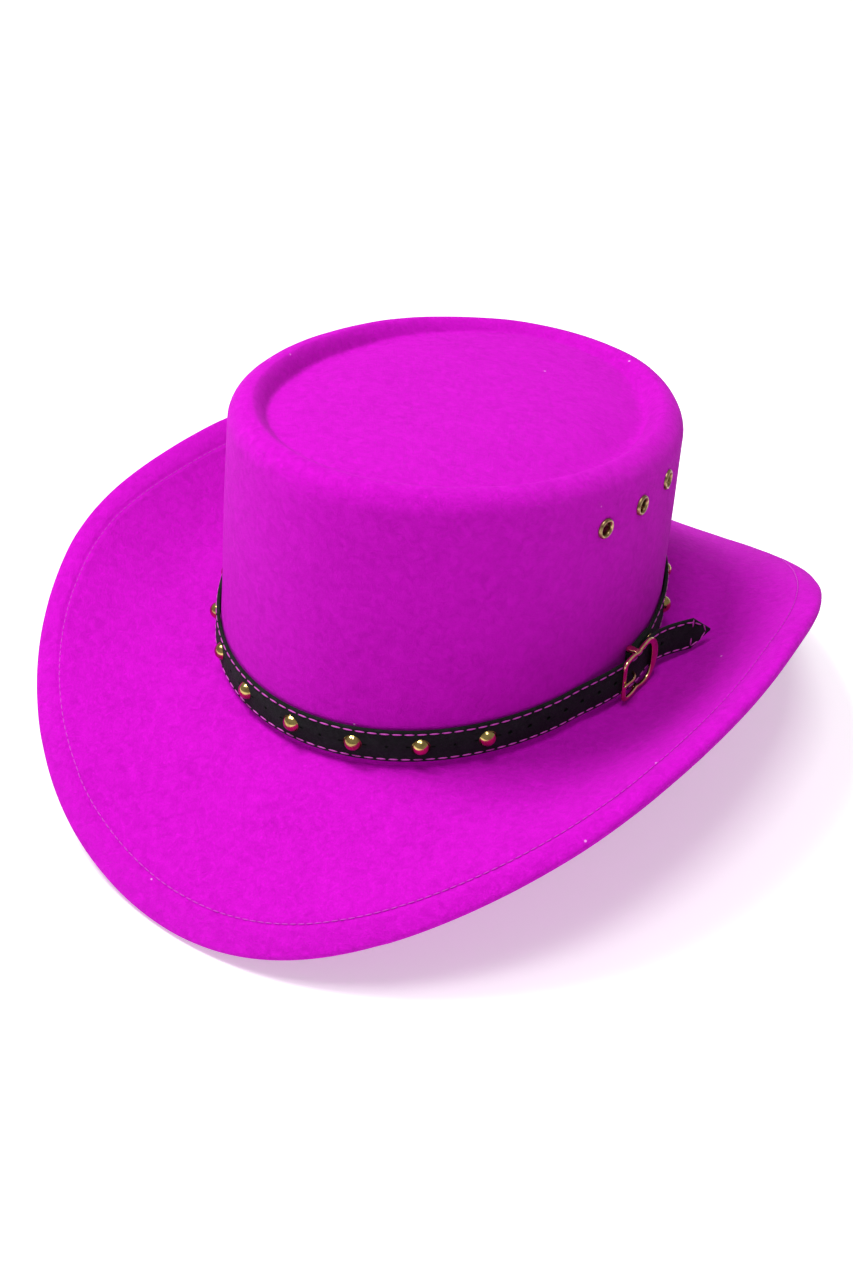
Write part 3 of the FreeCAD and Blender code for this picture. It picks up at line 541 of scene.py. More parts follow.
def thread_material(name, colour):
    """Twisted polyester thread: fine plies across the stitch, with painted shade in the grooves between the
    plies, slightly glossy.
    """
    material, tree, shader = plain_material(name)
    place = add_node(tree, "ShaderNodeTexCoord").outputs["Object"]
    ply = add_node(tree, "ShaderNodeTexWave", {"Vector": place, "Scale": 900.0, "Distortion": 1.5,
                                               "Detail": 1.0}, bands_direction="DIAGONAL")
    # Painted shade: the thread is darker in the grooves between its plies, where the ply wave is low.
    ply_groove_shade = tuple(c * 0.55 for c in colour[:3]) + (1.0,)
    tree.links.new(blend_colour(tree, ply.outputs["Fac"], ply_groove_shade, colour), shader.inputs["Base Color"])
    tree.links.new(ranged(tree, ply.outputs["Fac"], 0.0, 1.0, 0.62, 0.42), shader.inputs["Roughness"])
    bump = add_node(tree, "ShaderNodeBump", {"Strength": 0.4, "Distance": 0.0001,
                                             "Height": ply.outputs["Fac"]})
    tree.links.new(bump.outputs["Normal"], shader.inputs["Normal"])
    return material


HEM_TOP_RING = DOME_RINGS + LIP_RINGS + CREASE_RINGS + RIM_RINGS + WALL_RINGS + BREAK_RINGS + BRIM_RINGS + 1
top_hem = felt_rings[HEM_TOP_RING]
hem_thread = thread_material("hem_thread", THREAD_PALE)
hem_stitches = stitched("hem_stitches", [(top_hem + (0, 0, HEM_THREAD / 2), True)], HEM_STITCH,
                        HEM_STITCH_GAP, HEM_THREAD, hem_thread)
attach(hem_stitches, "hat")

# ---- Brim wire and its sleeve ------------------------------------------------------------------------
# A hard-drawn steel wire inside the folded edge keeps the brim's curl. Its ends meet at the middle of the
# back in a short nickel-plated sleeve that is crimped over both.

WIRE_RADIUS, WIRE_SIDES = 0.8, 12
STEEL, STEEL_DARK = (0.50, 0.50, 0.51, 1.0), (0.30, 0.29, 0.28, 1.0)
NICKEL, NICKEL_DARK = (0.60, 0.57, 0.52, 1.0), (0.40, 0.37, 0.33, 1.0)


def metal_group():
    """Handled metal: a cloudy film, fine scratches, and the height of the scratches."""
    group, given, put = effect_group(
        "handled_metal",
        (("Place", "NodeSocketVector", None), ("Cloud Scale", "NodeSocketFloat", 300.0),
         ("Scratch Scale", "NodeSocketFloat", 1500.0)),
        (("Film", "NodeSocketFloat"), ("Scratches", "NodeSocketFloat")))
    film = add_node(group, "ShaderNodeTexNoise", {"Vector": given["Place"], "Scale": given["Cloud Scale"],
                                                  "Detail": 4.0, "Roughness": 0.6})
    long_way = add_node(group, "ShaderNodeMapping", {"Vector": given["Place"], "Rotation": (0.4, 0.2, 0.7),
                                                     "Scale": (1.0, 0.06, 0.3)})
    scratch = add_node(group, "ShaderNodeTexNoise", {
        "Vector": long_way.outputs[0], "Scale": given["Scratch Scale"], "Detail": 3.0, "Roughness": 0.7})
    thin = add_node(group, "ShaderNodeMapRange", {"Value": scratch.outputs["Fac"], "From Min": 0.58,
                                                  "From Max": 0.70})
    group.links.new(film.outputs["Fac"], put["Film"])
    group.links.new(thin.outputs["Result"], put["Scratches"])
    return group


HANDLED_METAL = metal_group()


def metal_material(name, colour, dark, smooth, rough, cloud=300.0):
    """Metal that turns from its colour to a darker film, and from smooth to rough where it's handled."""
    material, tree, shader = plain_material(name)
    place = add_node(tree, "ShaderNodeTexCoord").outputs["Object"]
    wear = add_node(tree, "ShaderNodeGroup", node_tree=HANDLED_METAL)
    tree.links.new(place, wear.inputs["Place"])
    wear.inputs["Cloud Scale"].default_value = cloud
    base = blend_colour(tree, ranged(tree, wear.outputs["Film"], 0.38, 0.66, 0.0, 1.0), colour, dark)
    tree.links.new(base, shader.inputs["Base Color"])
    tree.links.new(ranged(tree, wear.outputs["Film"], 0.35, 0.7, smooth, rough), shader.inputs["Roughness"])
    bump = add_node(tree, "ShaderNodeBump", {"Strength": 0.12, "Distance": 0.00005,
                                             "Height": wear.outputs["Scratches"]})
    tree.links.new(bump.outputs["Normal"], shader.inputs["Normal"])
    shader.inputs["Metallic"].default_value = 1.0
    return material


def coat_cad(node, material):
    """A CAD node keeps its shape and takes this material."""
    piece = frame["nodes"][node]
    piece.data.materials.clear()
    piece.data.materials.append(material)


EDGE_TOP_RING = HEM_TOP_RING + len(HEM_PARTS) - 2
EDGE_UNDER_RING = EDGE_TOP_RING + EDGE_RINGS
wire_line = (felt_rings[EDGE_TOP_RING] + felt_rings[EDGE_UNDER_RING]) / 2
wire_outward = wire_line * (1, 1, 0) / np.linalg.norm(wire_line[:, :2], axis=1)[:, None]
wire_up = np.array((0.0, 0.0, 1.0))
wire_rings = [wire_line + WIRE_RADIUS * (math.cos(turn) * wire_outward + math.sin(turn) * wire_up)
              for turn in np.linspace(0, 2 * math.pi, WIRE_SIDES, endpoint=False)]
wire = ring_piece("brim_wire_hoop", wire_rings, hoop=True, sharp=80.0)
wire.data.materials.append(metal_material("drawn_steel", STEEL, STEEL_DARK, 0.30, 0.50))
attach(wire, "hat")
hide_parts("brim_wire")
nickel = metal_material("nickel_plate", NICKEL, NICKEL_DARK, 0.22, 0.42)
coat_cad("wire_ferrule", nickel)

# ---- Sweatband ---------------------------------------------------------------------------------------
# A black ribbed tape sewn inside the foot of the crown. Its upper edge is turned and stitched, and its ends
# meet in a zigzag seam at the middle of the back.

SWEAT_GAP = 0.15                                 # between the tape and the felt
TAPE_SECTION = ((-1.0, 0.3), (-0.6, 0.05), (2.0, 0.0), (15.0, 0.0), (27.0, 0.0), (29.6, 0.05), (30.0, 0.35),
                (29.9, 0.85), (29.3, 1.1), (28.4, 1.12), (27.6, 0.95), (27.2, 0.8), (20.0, 0.82),
                (12.0, 0.86), (5.0, 0.82), (2.4, 0.8), (1.8, 0.96), (0.8, 1.1), (-0.4, 1.08), (-0.9, 0.8))
TAPE_ROWS, TAPE_FACE = (0.9, 28.4), 1.02         # heights of the two rows of stitches, and how far in they lie
ZIGZAG_TURN, ZIGZAG_START, ZIGZAG_RISE, ZIGZAG_DEPTH, ZIGZAG_POINTS = 0.018, 1.0, 1.9, 1.0, 15
TAPE_STITCH, TAPE_STITCH_GAP, TAPE_THREAD = 2.4, 0.9, 0.25
RIB_PITCH, RIB_COUNT_HEIGHT = 1.6, 60.0
SWEAT_BLACK, SWEAT_WORN = (0.010, 0.010, 0.011, 1.0), (0.045, 0.043, 0.045, 1.0)
SWEAT_RIB_SHADE, THREAD_BLACK = (0.003, 0.003, 0.003, 1.0), (0.05, 0.05, 0.052, 1.0)
SWEAT_COLUMNS = 360


def inside_crown(angle, rise, depth):
    """Points inside the crown's foot: up from it, and in from the felt."""
    return crown_wall(angle, foot_height(angle) + rise, -FELT - SWEAT_GAP - depth)


sweat_turns = np.linspace(0, 2 * math.pi, SWEAT_COLUMNS, endpoint=False)
tape_rings = [inside_crown(sweat_turns, rise, depth) for rise, depth in TAPE_SECTION]
sweatband = ring_piece("sweatband_tape", tape_rings, hoop=True, sharp=60.0)
rib_map = sweatband.data.uv_layers.new(name="ribs")
tape_line = crown_wall(np.append(sweat_turns, 2 * math.pi), RIB_COUNT_HEIGHT)
lengths = np.linalg.norm(np.diff(tape_line, axis=0), axis=1)
rib_count = round(lengths.sum() / RIB_PITCH)
for face in sweatband.data.polygons:
    columns = [sweatband.data.loops[k].vertex_index % SWEAT_COLUMNS for k in face.loop_indices]
    wraps = max(columns) - min(columns) > 1
    for k, column in zip(face.loop_indices, columns):
        row = sweatband.data.loops[k].vertex_index // SWEAT_COLUMNS
        turn = column + (SWEAT_COLUMNS if wraps and column == 0 else 0)
        rib_map.data[k].uv = (turn / SWEAT_COLUMNS * rib_count, row * 0.1)


def sweat_material():
    material, tree, shader = plain_material("ribbed_tape")
    place, nap = nap_on(tree, 1400.0, 700.0, 0.8)
    rib_uv = add_node(tree, "ShaderNodeUVMap", uv_map="ribs")
    rib = add_node(tree, "ShaderNodeTexWave", {"Vector": rib_uv.outputs[0], "Scale": 0.31416,
                                               "Distortion": 0.0, "Detail": 0.0})
    worn = add_node(tree, "ShaderNodeTexNoise", {"Vector": place, "Scale": 60.0, "Detail": 3.0})
    base = blend_colour(tree, ranged(tree, worn.outputs["Fac"], 0.4, 0.7, 0.0, 0.6), SWEAT_BLACK, SWEAT_WORN)
    # Painted shade: the tape turns darker in the hollows between its ribs, where the rib wave is low.
    base = blend_colour(tree, ranged(tree, rib.outputs["Fac"], 0.2, 0.9, 0.55, 0.0), base, SWEAT_RIB_SHADE)
    base = blend_colour(tree, ranged(tree, nap["Fibres"], 0.3, 1.0, 0.0, 0.25), base, SWEAT_WORN)
    tree.links.new(base, shader.inputs["Base Color"])
    tree.links.new(ranged(tree, worn.outputs["Fac"], 0.3, 0.7, 0.85, 0.62), shader.inputs["Roughness"])
    bump = add_node(tree, "ShaderNodeBump", {"Strength": 0.7, "Distance": 0.0004,
                                             "Height": rib.outputs["Fac"]})
    tree.links.new(bump.outputs["Normal"], shader.inputs["Normal"])
    shader.inputs["Sheen Weight"].default_value = 0.1
    return material


sweatband.data.materials.append(sweat_material())
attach(sweatband, "hat")
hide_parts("sweatband")

black_thread = thread_material("black_thread", THREAD_BLACK)
sewn = [(inside_crown(sweat_turns, rise, TAPE_FACE), True) for rise in TAPE_ROWS]
zigzag = [crown_wall(math.pi + (ZIGZAG_TURN if k % 2 else -ZIGZAG_TURN),
                     foot_height(math.pi) + ZIGZAG_START + k * ZIGZAG_RISE, -FELT - SWEAT_GAP - ZIGZAG_DEPTH)
          for k in range(ZIGZAG_POINTS)]
sewn += [([start, end], False) for start, end in zip(zigzag, zigzag[1:])]
sweat_stitches = stitched("sweatband_stitches", sewn, TAPE_STITCH, TAPE_STITCH_GAP, TAPE_THREAD, black_thread)
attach(sweat_stitches, "hat")

# ---- Eyelets -----------------------------------------------------------------------------------------
# Three antiqued brass eyelets on each side of the crown let air in. Each is a rolled ring whose barrel goes
# through the felt and is turned over a flat washer on the inside.

EYELET_BORE, EYELET_BARREL, EYELET_RING, EYELET_CROWN = 2.5, 2.9, 4.1, 1.15
EYELET_SUNK, WASHER_SEAT = 0.1, 1.0
ANTIQUE_BRASS, ANTIQUE_DARK = (0.52, 0.37, 0.17, 1.0), (0.16, 0.10, 0.045, 1.0)


def piece_tree():
    """Geometry nodes: one shape stood on every point, along the point's facing and turned by its heading."""
    tree = bpy.data.node_groups.new("piece_on_points", "GeometryNodeTree")
    for label, kind in (("Points", "NodeSocketGeometry"), ("Shape", "NodeSocketObject"),
                        ("Size", "NodeSocketFloat"), ("Finish", "NodeSocketMaterial")):
        tree.interface.new_socket(label, in_out="INPUT", socket_type=kind)
    tree.interface.new_socket("Pieces", in_out="OUTPUT", socket_type="NodeSocketGeometry")
    given = add_node(tree, "NodeGroupInput").outputs
    shape = add_node(tree, "GeometryNodeObjectInfo", {"Object": given["Shape"]})
    spots = add_node(tree, "GeometryNodeMeshToPoints", {0: given["Points"]})
    turned = None
    for label, axis in (("facing", "Z"), ("heading", "X")):
        way = add_node(tree, "GeometryNodeInputNamedAttribute", {"Name": label}, data_type="FLOAT_VECTOR")
        vector = way.outputs["Attribute"]
        aligned = add_node(tree, "FunctionNodeAlignRotationToVector", {"Vector": vector}, axis=axis)
        if turned:
            aligned.pivot_axis = "Z"
            tree.links.new(turned.outputs[0], aligned.inputs["Rotation"])
        turned = aligned
    size = add_node(tree, "ShaderNodeCombineXYZ", {0: given["Size"], 1: given["Size"], 2: given["Size"]})
    stood = add_node(tree, "GeometryNodeInstanceOnPoints", {
        "Points": spots.outputs[0], "Instance": shape.outputs["Geometry"], "Rotation": turned.outputs[0],
        "Scale": size.outputs[0]})
    solid = add_node(tree, "GeometryNodeRealizeInstances", {0: stood.outputs[0]})
    coated = add_node(tree, "GeometryNodeSetMaterial", {"Geometry": solid.outputs[0],
                                                        "Material": given["Finish"]})
    put = add_node(tree, "NodeGroupOutput")
    tree.links.new(coated.outputs[0], put.inputs[0])
    return tree


PIECES = piece_tree()


def stood_on(name, shape, places, finish, sharp=40.0):
    """One (points, faces) shape, in millimetres, on every placement, as one plain mesh."""
    mesh = bpy.data.meshes.new(name + "_shape")
    mesh.from_pydata([tuple(p) for p in shape[0]], [], [tuple(f) for f in shape[1]])
    pattern = bpy.data.objects.new(name + "_shape", mesh)
    bpy.context.scene.collection.objects.link(pattern)
    spots = bpy.data.meshes.new(name)
    spots.from_pydata([tuple(into_frame(place[:3, 3])) for place in places], [], [])
    for label, column in (("facing", 2), ("heading", 0)):
        way = spots.attributes.new(label, "FLOAT_VECTOR", "POINT")
        way.data.foreach_set("vector", np.array([place[:3, column] for place in places]).ravel())
    made = grown(name, PIECES, spots, {"Shape": pattern, "Size": 0.001, "Finish": finish}, sharp)
    bpy.data.objects.remove(pattern)
    return made


def eyelet_shape():
    """The rolled ring outside the felt, its barrel, and the lip turned over inside."""
    middle, half = (EYELET_BORE + EYELET_RING) / 2, (EYELET_RING - EYELET_BORE) / 2
    profile = [(middle + half * math.cos(t), 0.05 + EYELET_CROWN * math.sin(t))
               for t in np.radians(np.linspace(0, 180, 13))]
    lip = -FELT - WASHER_SEAT
    profile += [(EYELET_BORE, lip - 0.25), (EYELET_BORE + 0.25, lip - 0.5), (EYELET_BORE + 0.6, lip - 0.45),
                (EYELET_BORE + 0.9, lip - 0.1), (EYELET_BARREL, lip), (EYELET_BARREL, -EYELET_SUNK),
                (EYELET_RING - EYELET_SUNK, -EYELET_SUNK)]
    return lathe(profile, 48)


brass = metal_material("antique_brass", ANTIQUE_BRASS, ANTIQUE_DARK, 0.24, 0.50, cloud=700.0)
eyelets = stood_on("eyelet_rings", eyelet_shape(), eyelet_places, brass, sharp=50.0)
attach(eyelets, "hat")
sides = [(side, place) for side in ("left", "right") for place in ("front", "middle", "rear")]
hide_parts(*["eyelet_%s_%s" % pair for pair in sides])
for pair in sides:
    coat_cad("eyelet_washer_%s_%s" % pair, brass)

# ---- Hat band strap ----------------------------------------------------------------------------------
# A strap of black brushed suede cloth, two plies with a rounded edge, laid round the foot of the crown. Its
# end is turned round the buckle's bar. Its pointed tail goes through the buckle and stands off the crown.

STRAP_TALL, STRAP_THICKNESS, STRAP_GAP = 14.5, 1.4, 0.5
BAND_HUG = STRAP_GAP + STRAP_THICKNESS / 2
BAND_CLIMB, TAIL_SLOPE_END = FOOT_TILT / FOOT_LONG, 16.0
BAND_MIDDLE = float(foot_height(math.pi / 2)) + STRAP_TALL / 2
TAIL_ROUTE = ((44.5, 15.6), (37.0, 11.8), (29.0, 7.8), (21.0, 4.9), (14.0, 3.9), (6.0, 4.4), (0.0, 4.95),
              (-5.0, 4.5), (-11.0, 3.3), (-20.0, 1.0))
FOLD_ROUTE = ((26.0, -1.4), (18.0, 0.62), (9.0, 1.62), (5.5, 1.75))
HUG_START, HUG_END, HUG_STEPS = 30.0, -34.0, 61  # where the strap comes to lie against the crown
POINT_LENGTH, POINT_TIP = 9.0, 0.06              # the tail's point; its blunt tip is a share of the height
STRAP_STEP = 1.0
STRAP_EDGE, EDGE_TO_STITCH = 0.45, 1.25
SEWN_GROOVE, SEWN_HALF_WIDTH, FACE_CROWN = 0.14, 0.35, 0.03
HOLE_RADIUS, HOLE_PITCH, HOLE_COUNT = 1.0, 8.6, 6
FIRST_HOLE, TAIL_HOLE = -12.9, 21.5
PUNCH_REACH, HOLE_DEPTH = 3.0, 1.0
STUD_COUNT, STUD_PITCH, FIRST_STUD = 20, 25.9, 79.5
SLIT_PLACE, SLIT_SIZE = 4.7, (0.95, 0.42, 0.45)  # beside every stud: half length, half height and depth
DOT_RADIUS, DOT_DEPTH = 0.62, 0.6                # halfway between two studs
SUEDE_BLACK, SUEDE_GREY = (0.0045, 0.0065, 0.0055, 1.0), (0.014, 0.019, 0.017, 1.0)
SUEDE_LINT = (0.035, 0.042, 0.040, 1.0)


def beside_buckle(along, out, up):
    """A point beside the buckle: along the strap, out from the crown's foot, and up from its middle."""
    turn = math.acos(-along / FOOT_LONG)
    height = BAND_MIDDLE + BAND_CLIMB * min(along, TAIL_SLOPE_END) + up
    lean = crown_wall(turn, height) - crown_wall(turn, float(foot_height(turn)))
    return np.array((FOOT_WIDE + out + lean[0], along + lean[1], height))


def band_point(turn, out, up):
    return crown_wall(turn, float(foot_height(turn)) + STRAP_TALL / 2 + up, out)


def strap_stations():
    """Low, middle and high points of the strap, from its tail round the crown to its fold."""
    from_tail, from_fold = math.acos(HUG_START / FOOT_LONG), math.acos(HUG_END / FOOT_LONG)
    makers = [(beside_buckle, along, out) for along, out in TAIL_ROUTE]
    for turn in np.linspace(from_tail, from_fold - 2 * math.pi, HUG_STEPS):
        makers.append((band_point, turn, BAND_HUG))
    makers += [(beside_buckle, along, out) for along, out in FOLD_ROUTE]
    half = STRAP_TALL / 2
    return np.array([[make(a, b, up) for up in (-half, 0.0, half)] for make, a, b in makers])


def smooth_through(points, step):
    """A natural cubic spline through points, sampled at about this step along it."""
    points = np.asarray(points, float)
    flat = points.reshape(len(points), -1)
    middle = points[:, 1] if points.ndim == 3 else points
    knots = np.concatenate([[0], np.cumsum(np.linalg.norm(np.diff(middle, axis=0), axis=1))])
    gaps = np.diff(knots)
    count = len(knots)
    matrix, right = np.eye(count), np.zeros_like(flat)
    for k in range(1, count - 1):
        matrix[k, k - 1:k + 2] = gaps[k - 1], 2 * (gaps[k - 1] + gaps[k]), gaps[k]
        right[k] = 6 * ((flat[k + 1] - flat[k]) / gaps[k] - (flat[k] - flat[k - 1]) / gaps[k - 1])
    bend = np.linalg.solve(matrix, right)
    where = np.linspace(0, knots[-1], int(knots[-1] / step) + 2)
    k = np.clip(np.searchsorted(knots, where, side="right") - 1, 0, count - 2)
    h, a, b = gaps[k][:, None], (knots[k + 1] - where)[:, None], (where - knots[k])[:, None]
    made = (bend[k] * a ** 3 + bend[k + 1] * b ** 3) / (6 * h)
    made += (flat[k] / h - bend[k] * h / 6) * a + (flat[k + 1] / h - bend[k + 1] * h / 6) * b
    return where, made.reshape((len(where),) + points.shape[1:])


strap_run, strap_line = smooth_through(strap_stations(), step=STRAP_STEP)
strap_middle = strap_line[:, 1]
strap_ahead = np.gradient(strap_middle, axis=0)
strap_up = strap_line[:, 2] - strap_line[:, 0]
strap_up /= np.linalg.norm(strap_up, axis=1)[:, None]
strap_out = np.cross(strap_up, strap_ahead)
strap_out /= np.linalg.norm(strap_out, axis=1)[:, None]
if strap_out[len(strap_out) // 2].dot(strap_middle[len(strap_out) // 2] * (1, 1, 0)) < 0:
    strap_out = -strap_out


def on_strap(run, up, out):
    """A point of the strap: distance from the tail's tip, up from its middle, out from its mid-thickness."""
    pick = [np.interp(run, strap_run, values[:, k]) for values in (strap_middle, strap_up, strap_out)
            for k in range(3)]
    return np.array(pick[0:3]) + np.array(pick[3:6]) * up + np.array(pick[6:9]) * out


def strap_half(run):
    """Half the strap's height, narrowing to the tail's point."""
    return STRAP_TALL / 2 * min(1.0, POINT_TIP + (1 - POINT_TIP) * run / POINT_LENGTH)


def strap_outline(half):
    """The strap's section as (up, out): rounded edges and a fine groove under each row of stitches."""
    flat, edge = STRAP_THICKNESS / 2, min(STRAP_EDGE, half * 0.6)
    line = [(half - edge + edge * math.sin(t), flat - edge + edge * math.cos(t))
            for t in np.radians((0, 30, 60, 90))]
    line += [(half - edge + edge * math.sin(t), -flat + edge + edge * math.cos(t))
             for t in np.radians((90, 135, 180))]
    groove = max(half - EDGE_TO_STITCH, 0.05)
    inner = max(groove - SEWN_HALF_WIDTH, 0.02)
    outer = min(groove + SEWN_HALF_WIDTH, half - edge * 0.95)
    face = [(-outer, flat), (-groove, flat - SEWN_GROOVE), (-inner, flat), (0.0, flat + FACE_CROWN),
            (inner, flat), (groove, flat - SEWN_GROOVE), (outer, flat)]
    under = [(-x, y) for x, y in line[::-1]]
    return line + [(0.0, -flat)] + under + face


strap_rings = []
for k, run in enumerate(strap_run):
    strap_rings.append(np.array([strap_middle[k] + strap_up[k] * up + strap_out[k] * out
                                 for up, out in strap_outline(strap_half(run))]))
strap = ring_piece("suede_strap", strap_rings, sharp=60.0)

# Distances along the band, measured round it from its front, find the studs and holes.
hug_turns = np.linspace(0, 2 * math.pi, 721)
hug_line = np.array([band_point(turn, BAND_HUG, 0.0) for turn in hug_turns])
hug_lengths = np.concatenate([[0], np.cumsum(np.linalg.norm(np.diff(hug_line, axis=0), axis=1))])
buckle_length = float(np.interp(math.pi / 2, hug_turns, hug_lengths))


def face_place(distance, out=STRAP_GAP + STRAP_THICKNESS):
    """A placement on the strap's face, Z straight out and X along the strap."""
    turn = float(np.interp(distance % hug_lengths[-1], hug_lengths, hug_turns))
    spot = band_point(turn, out, 0.0)
    return place_at(spot, wall_normal(turn, spot[2]), band_point(turn + 0.01, out, 0.0) - spot)


def near_buckle_place(along):
    """A placement through the strap beside the buckle, where it stands away from the crown."""
    run = float(np.interp(-along, -strap_middle[:90, 1], strap_run[:90]))
    spot = on_strap(run, 0.0, 0.0)
    return place_at(spot, on_strap(run, 0.0, 1.0) - spot, on_strap(run + 1.0, 0.0, 0.0) - spot)


def slit(half_long, half_tall, depth):
    """A long shallow punch mark."""
    points, faces = rod(1.0, -depth, depth, 16)
    return points * (half_long, half_tall, 1.0), faces


cuts = [(*rod(HOLE_RADIUS, -PUNCH_REACH, PUNCH_REACH, 20), near_buckle_place(along))
        for along in (FIRST_HOLE, FIRST_HOLE - HOLE_PITCH, TAIL_HOLE)]
for k in range(2, HOLE_COUNT + 1):
    hole = rod(HOLE_RADIUS, -HOLE_DEPTH, PUNCH_REACH, 20)
    cuts.append((*hole, face_place(buckle_length + FIRST_HOLE - HOLE_PITCH * k)))
stud_places = [face_place(FIRST_STUD - k * STUD_PITCH) for k in range(STUD_COUNT)]
for k in range(STUD_COUNT):
    for off in (-SLIT_PLACE, SLIT_PLACE):
        cuts.append((*slit(*SLIT_SIZE), face_place(FIRST_STUD - k * STUD_PITCH + off)))
    if k < STUD_COUNT - 1:
        dot = rod(DOT_RADIUS, -DOT_DEPTH, PUNCH_REACH, 16)
        cuts.append((*dot, face_place(FIRST_STUD - (k + 0.5) * STUD_PITCH)))
cut_points, cut_faces = joined(cuts)
strap = cut_with(strap, mesh_piece("punch_marks", into_frame(cut_points), cut_faces), sharp=50.0)


def suede_material():
    material, tree, shader = plain_material("black_suede")
    place, nap = nap_on(tree, 1500.0, 520.0, 1.4)
    rubbed = add_node(tree, "ShaderNodeTexNoise", {"Vector": place, "Scale": 110.0, "Detail": 4.0,
                                                   "Roughness": 0.65})
    rub = ranged(tree, rubbed.outputs["Fac"], 0.42, 0.72, 0.0, 0.65)
    base = blend_colour(tree, rub, SUEDE_BLACK, SUEDE_GREY)
    base = blend_colour(tree, ranged(tree, nap["Clumps"], 0.5, 0.75, 0.0, 0.5), base, SUEDE_GREY)
    base = blend_colour(tree, ranged(tree, nap["Fibres"], 0.6, 1.0, 0.0, 0.22), base, SUEDE_LINT)
    tree.links.new(base, shader.inputs["Base Color"])
    tree.links.new(ranged(tree, nap["Clumps"], 0.3, 0.7, 0.95, 0.72), shader.inputs["Roughness"])
    bump = add_node(tree, "ShaderNodeBump", {"Strength": 0.5, "Distance": 0.00018, "Height": nap["Height"]})
    tree.links.new(bump.outputs["Normal"], shader.inputs["Normal"])
    shader.inputs["Specular IOR Level"].default_value = 0.15
    shader.inputs["Sheen Weight"].default_value = 0.02
    return material


SUEDE = suede_material()
strap.data.materials.clear()
strap.data.materials.append(SUEDE)
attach(strap, "hat_band")
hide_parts("hat_band_strap")

# ---- Strap fold --------------------------------------------------------------------------------------
# The strap's end, skived thin, turned round the buckle's bar and riveted back on itself, with a window cut in
# the turn for the prong's eye. Places here are from the bar's middle: out, along towards the back, and up.

BAR_RADIUS, RUNNING_GAP, FOLD_THICKNESS = 0.9, 0.06, 0.75
FOLD_LEGS = ((2.0, 1.55), (4.0, 1.05), (6.0, 0.45), (8.0, 0.1), (11.0, -0.3), (14.5, -0.7), (18.0, -1.1),
             (18.0, -2.5), (14.5, -2.45), (11.0, -2.2), (8.0, -1.98), (5.0, -1.82), (2.5, -1.74))
FOLD_EDGE, BAR_HOLE_REACH = 0.3, 20
WINDOW_OUT, WINDOW_FRONT, WINDOW_BACK, WINDOW_UP = 3.4, -3.0, 2.4, 1.4
buckle_joint = next(joint for joint in frame["joints"] if joint["name"] == "buckle_tip")
bar_middle = np.array(buckle_joint["pos_m"])
bar_up = np.array(buckle_joint["axis"]) / np.linalg.norm(buckle_joint["axis"])
bar_along = np.array((0.0, bar_up[2], -bar_up[1])) / math.hypot(bar_up[1], bar_up[2])
BUCKLE_PLACE = np.eye(4)
BUCKLE_PLACE[:3, 0] = np.cross(bar_along, bar_up)
BUCKLE_PLACE[:3, 1] = bar_along
BUCKLE_PLACE[:3, 2] = bar_up
BUCKLE_PLACE[:3, 3] = bar_middle * 1000.0 - CROWN_AXIS


def buckle_piece(name, points, faces, sharp=40.0):
    """A mesh piece from points about the bar's middle."""
    placed = np.asarray(points) @ BUCKLE_PLACE[:3, :3].T + BUCKLE_PLACE[:3, 3]
    return mesh_piece(name, into_frame(placed), faces, sharp)


def slab(outline, low, high, round_by):
    """A closed (along, out) outline between two heights, with its edges drawn in to round them."""
    centre = np.mean(outline, axis=0)
    rings = []
    for height, inset in ((low, round_by), (low + 0.3 * round_by, 0.3 * round_by), (low + round_by, 0.0),
                          (high - round_by, 0.0), (high - 0.3 * round_by, 0.3 * round_by), (high, round_by)):
        ring = []
        for k, point in enumerate(outline):
            ahead = np.subtract(outline[(k + 1) % len(outline)], outline[k - 1])
            normal = np.array((ahead[1], -ahead[0])) / np.linalg.norm(ahead)
            if normal.dot(point - centre) < 0:
                normal = -normal
            moved = point - normal * inset
            ring.append((moved[1], moved[0], height))
        rings.append(np.array(ring))
    count = len(outline)
    faces = []
    for r in range(len(rings) - 1):
        for c in range(count):
            d = (c + 1) % count
            faces.append((r * count + c, r * count + d, (r + 1) * count + d, (r + 1) * count + c))
    last = (len(rings) - 1) * count
    faces += [tuple(range(count))[::-1], tuple(range(last, last + count))]
    return np.concatenate(rings), faces


fold_outer = BAR_RADIUS + RUNNING_GAP + FOLD_THICKNESS
fold_outline = [(-fold_outer * math.sin(t), -fold_outer * math.cos(t))
                for t in np.radians(np.linspace(0, 180, 19))] + list(FOLD_LEGS)
fold_points, fold_faces = slab(np.array(fold_outline), -STRAP_TALL / 2, STRAP_TALL / 2, FOLD_EDGE)
fold = buckle_piece("suede_fold", fold_points, fold_faces, sharp=60.0)
window_corners = ((-WINDOW_OUT, WINDOW_FRONT), (WINDOW_OUT, WINDOW_FRONT), (WINDOW_OUT, WINDOW_BACK),
                  (-WINDOW_OUT, WINDOW_BACK))
window = np.array([(out, along, up) for up in (-WINDOW_UP, WINDOW_UP) for out, along in window_corners])
window_faces = [(3, 2, 1, 0), (4, 5, 6, 7), (0, 1, 5, 4), (1, 2, 6, 5), (2, 3, 7, 6), (3, 0, 4, 7)]
bar_hole = rod(BAR_RADIUS + RUNNING_GAP, -BAR_HOLE_REACH, BAR_HOLE_REACH, 28)
for name, shape in (("bar_hole", bar_hole), ("eye_window", (window, window_faces))):
    fold = cut_with(fold, buckle_piece(name, *shape), sharp=50.0)
fold.data.materials.clear()
fold.data.materials.append(SUEDE)
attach(fold, "hat_band")

# ---- Strap stitching ---------------------------------------------------------------------------------
# Magenta thread, matched to the felt, runs close to both edges of the strap and round its point, with a short
# row across the tail.

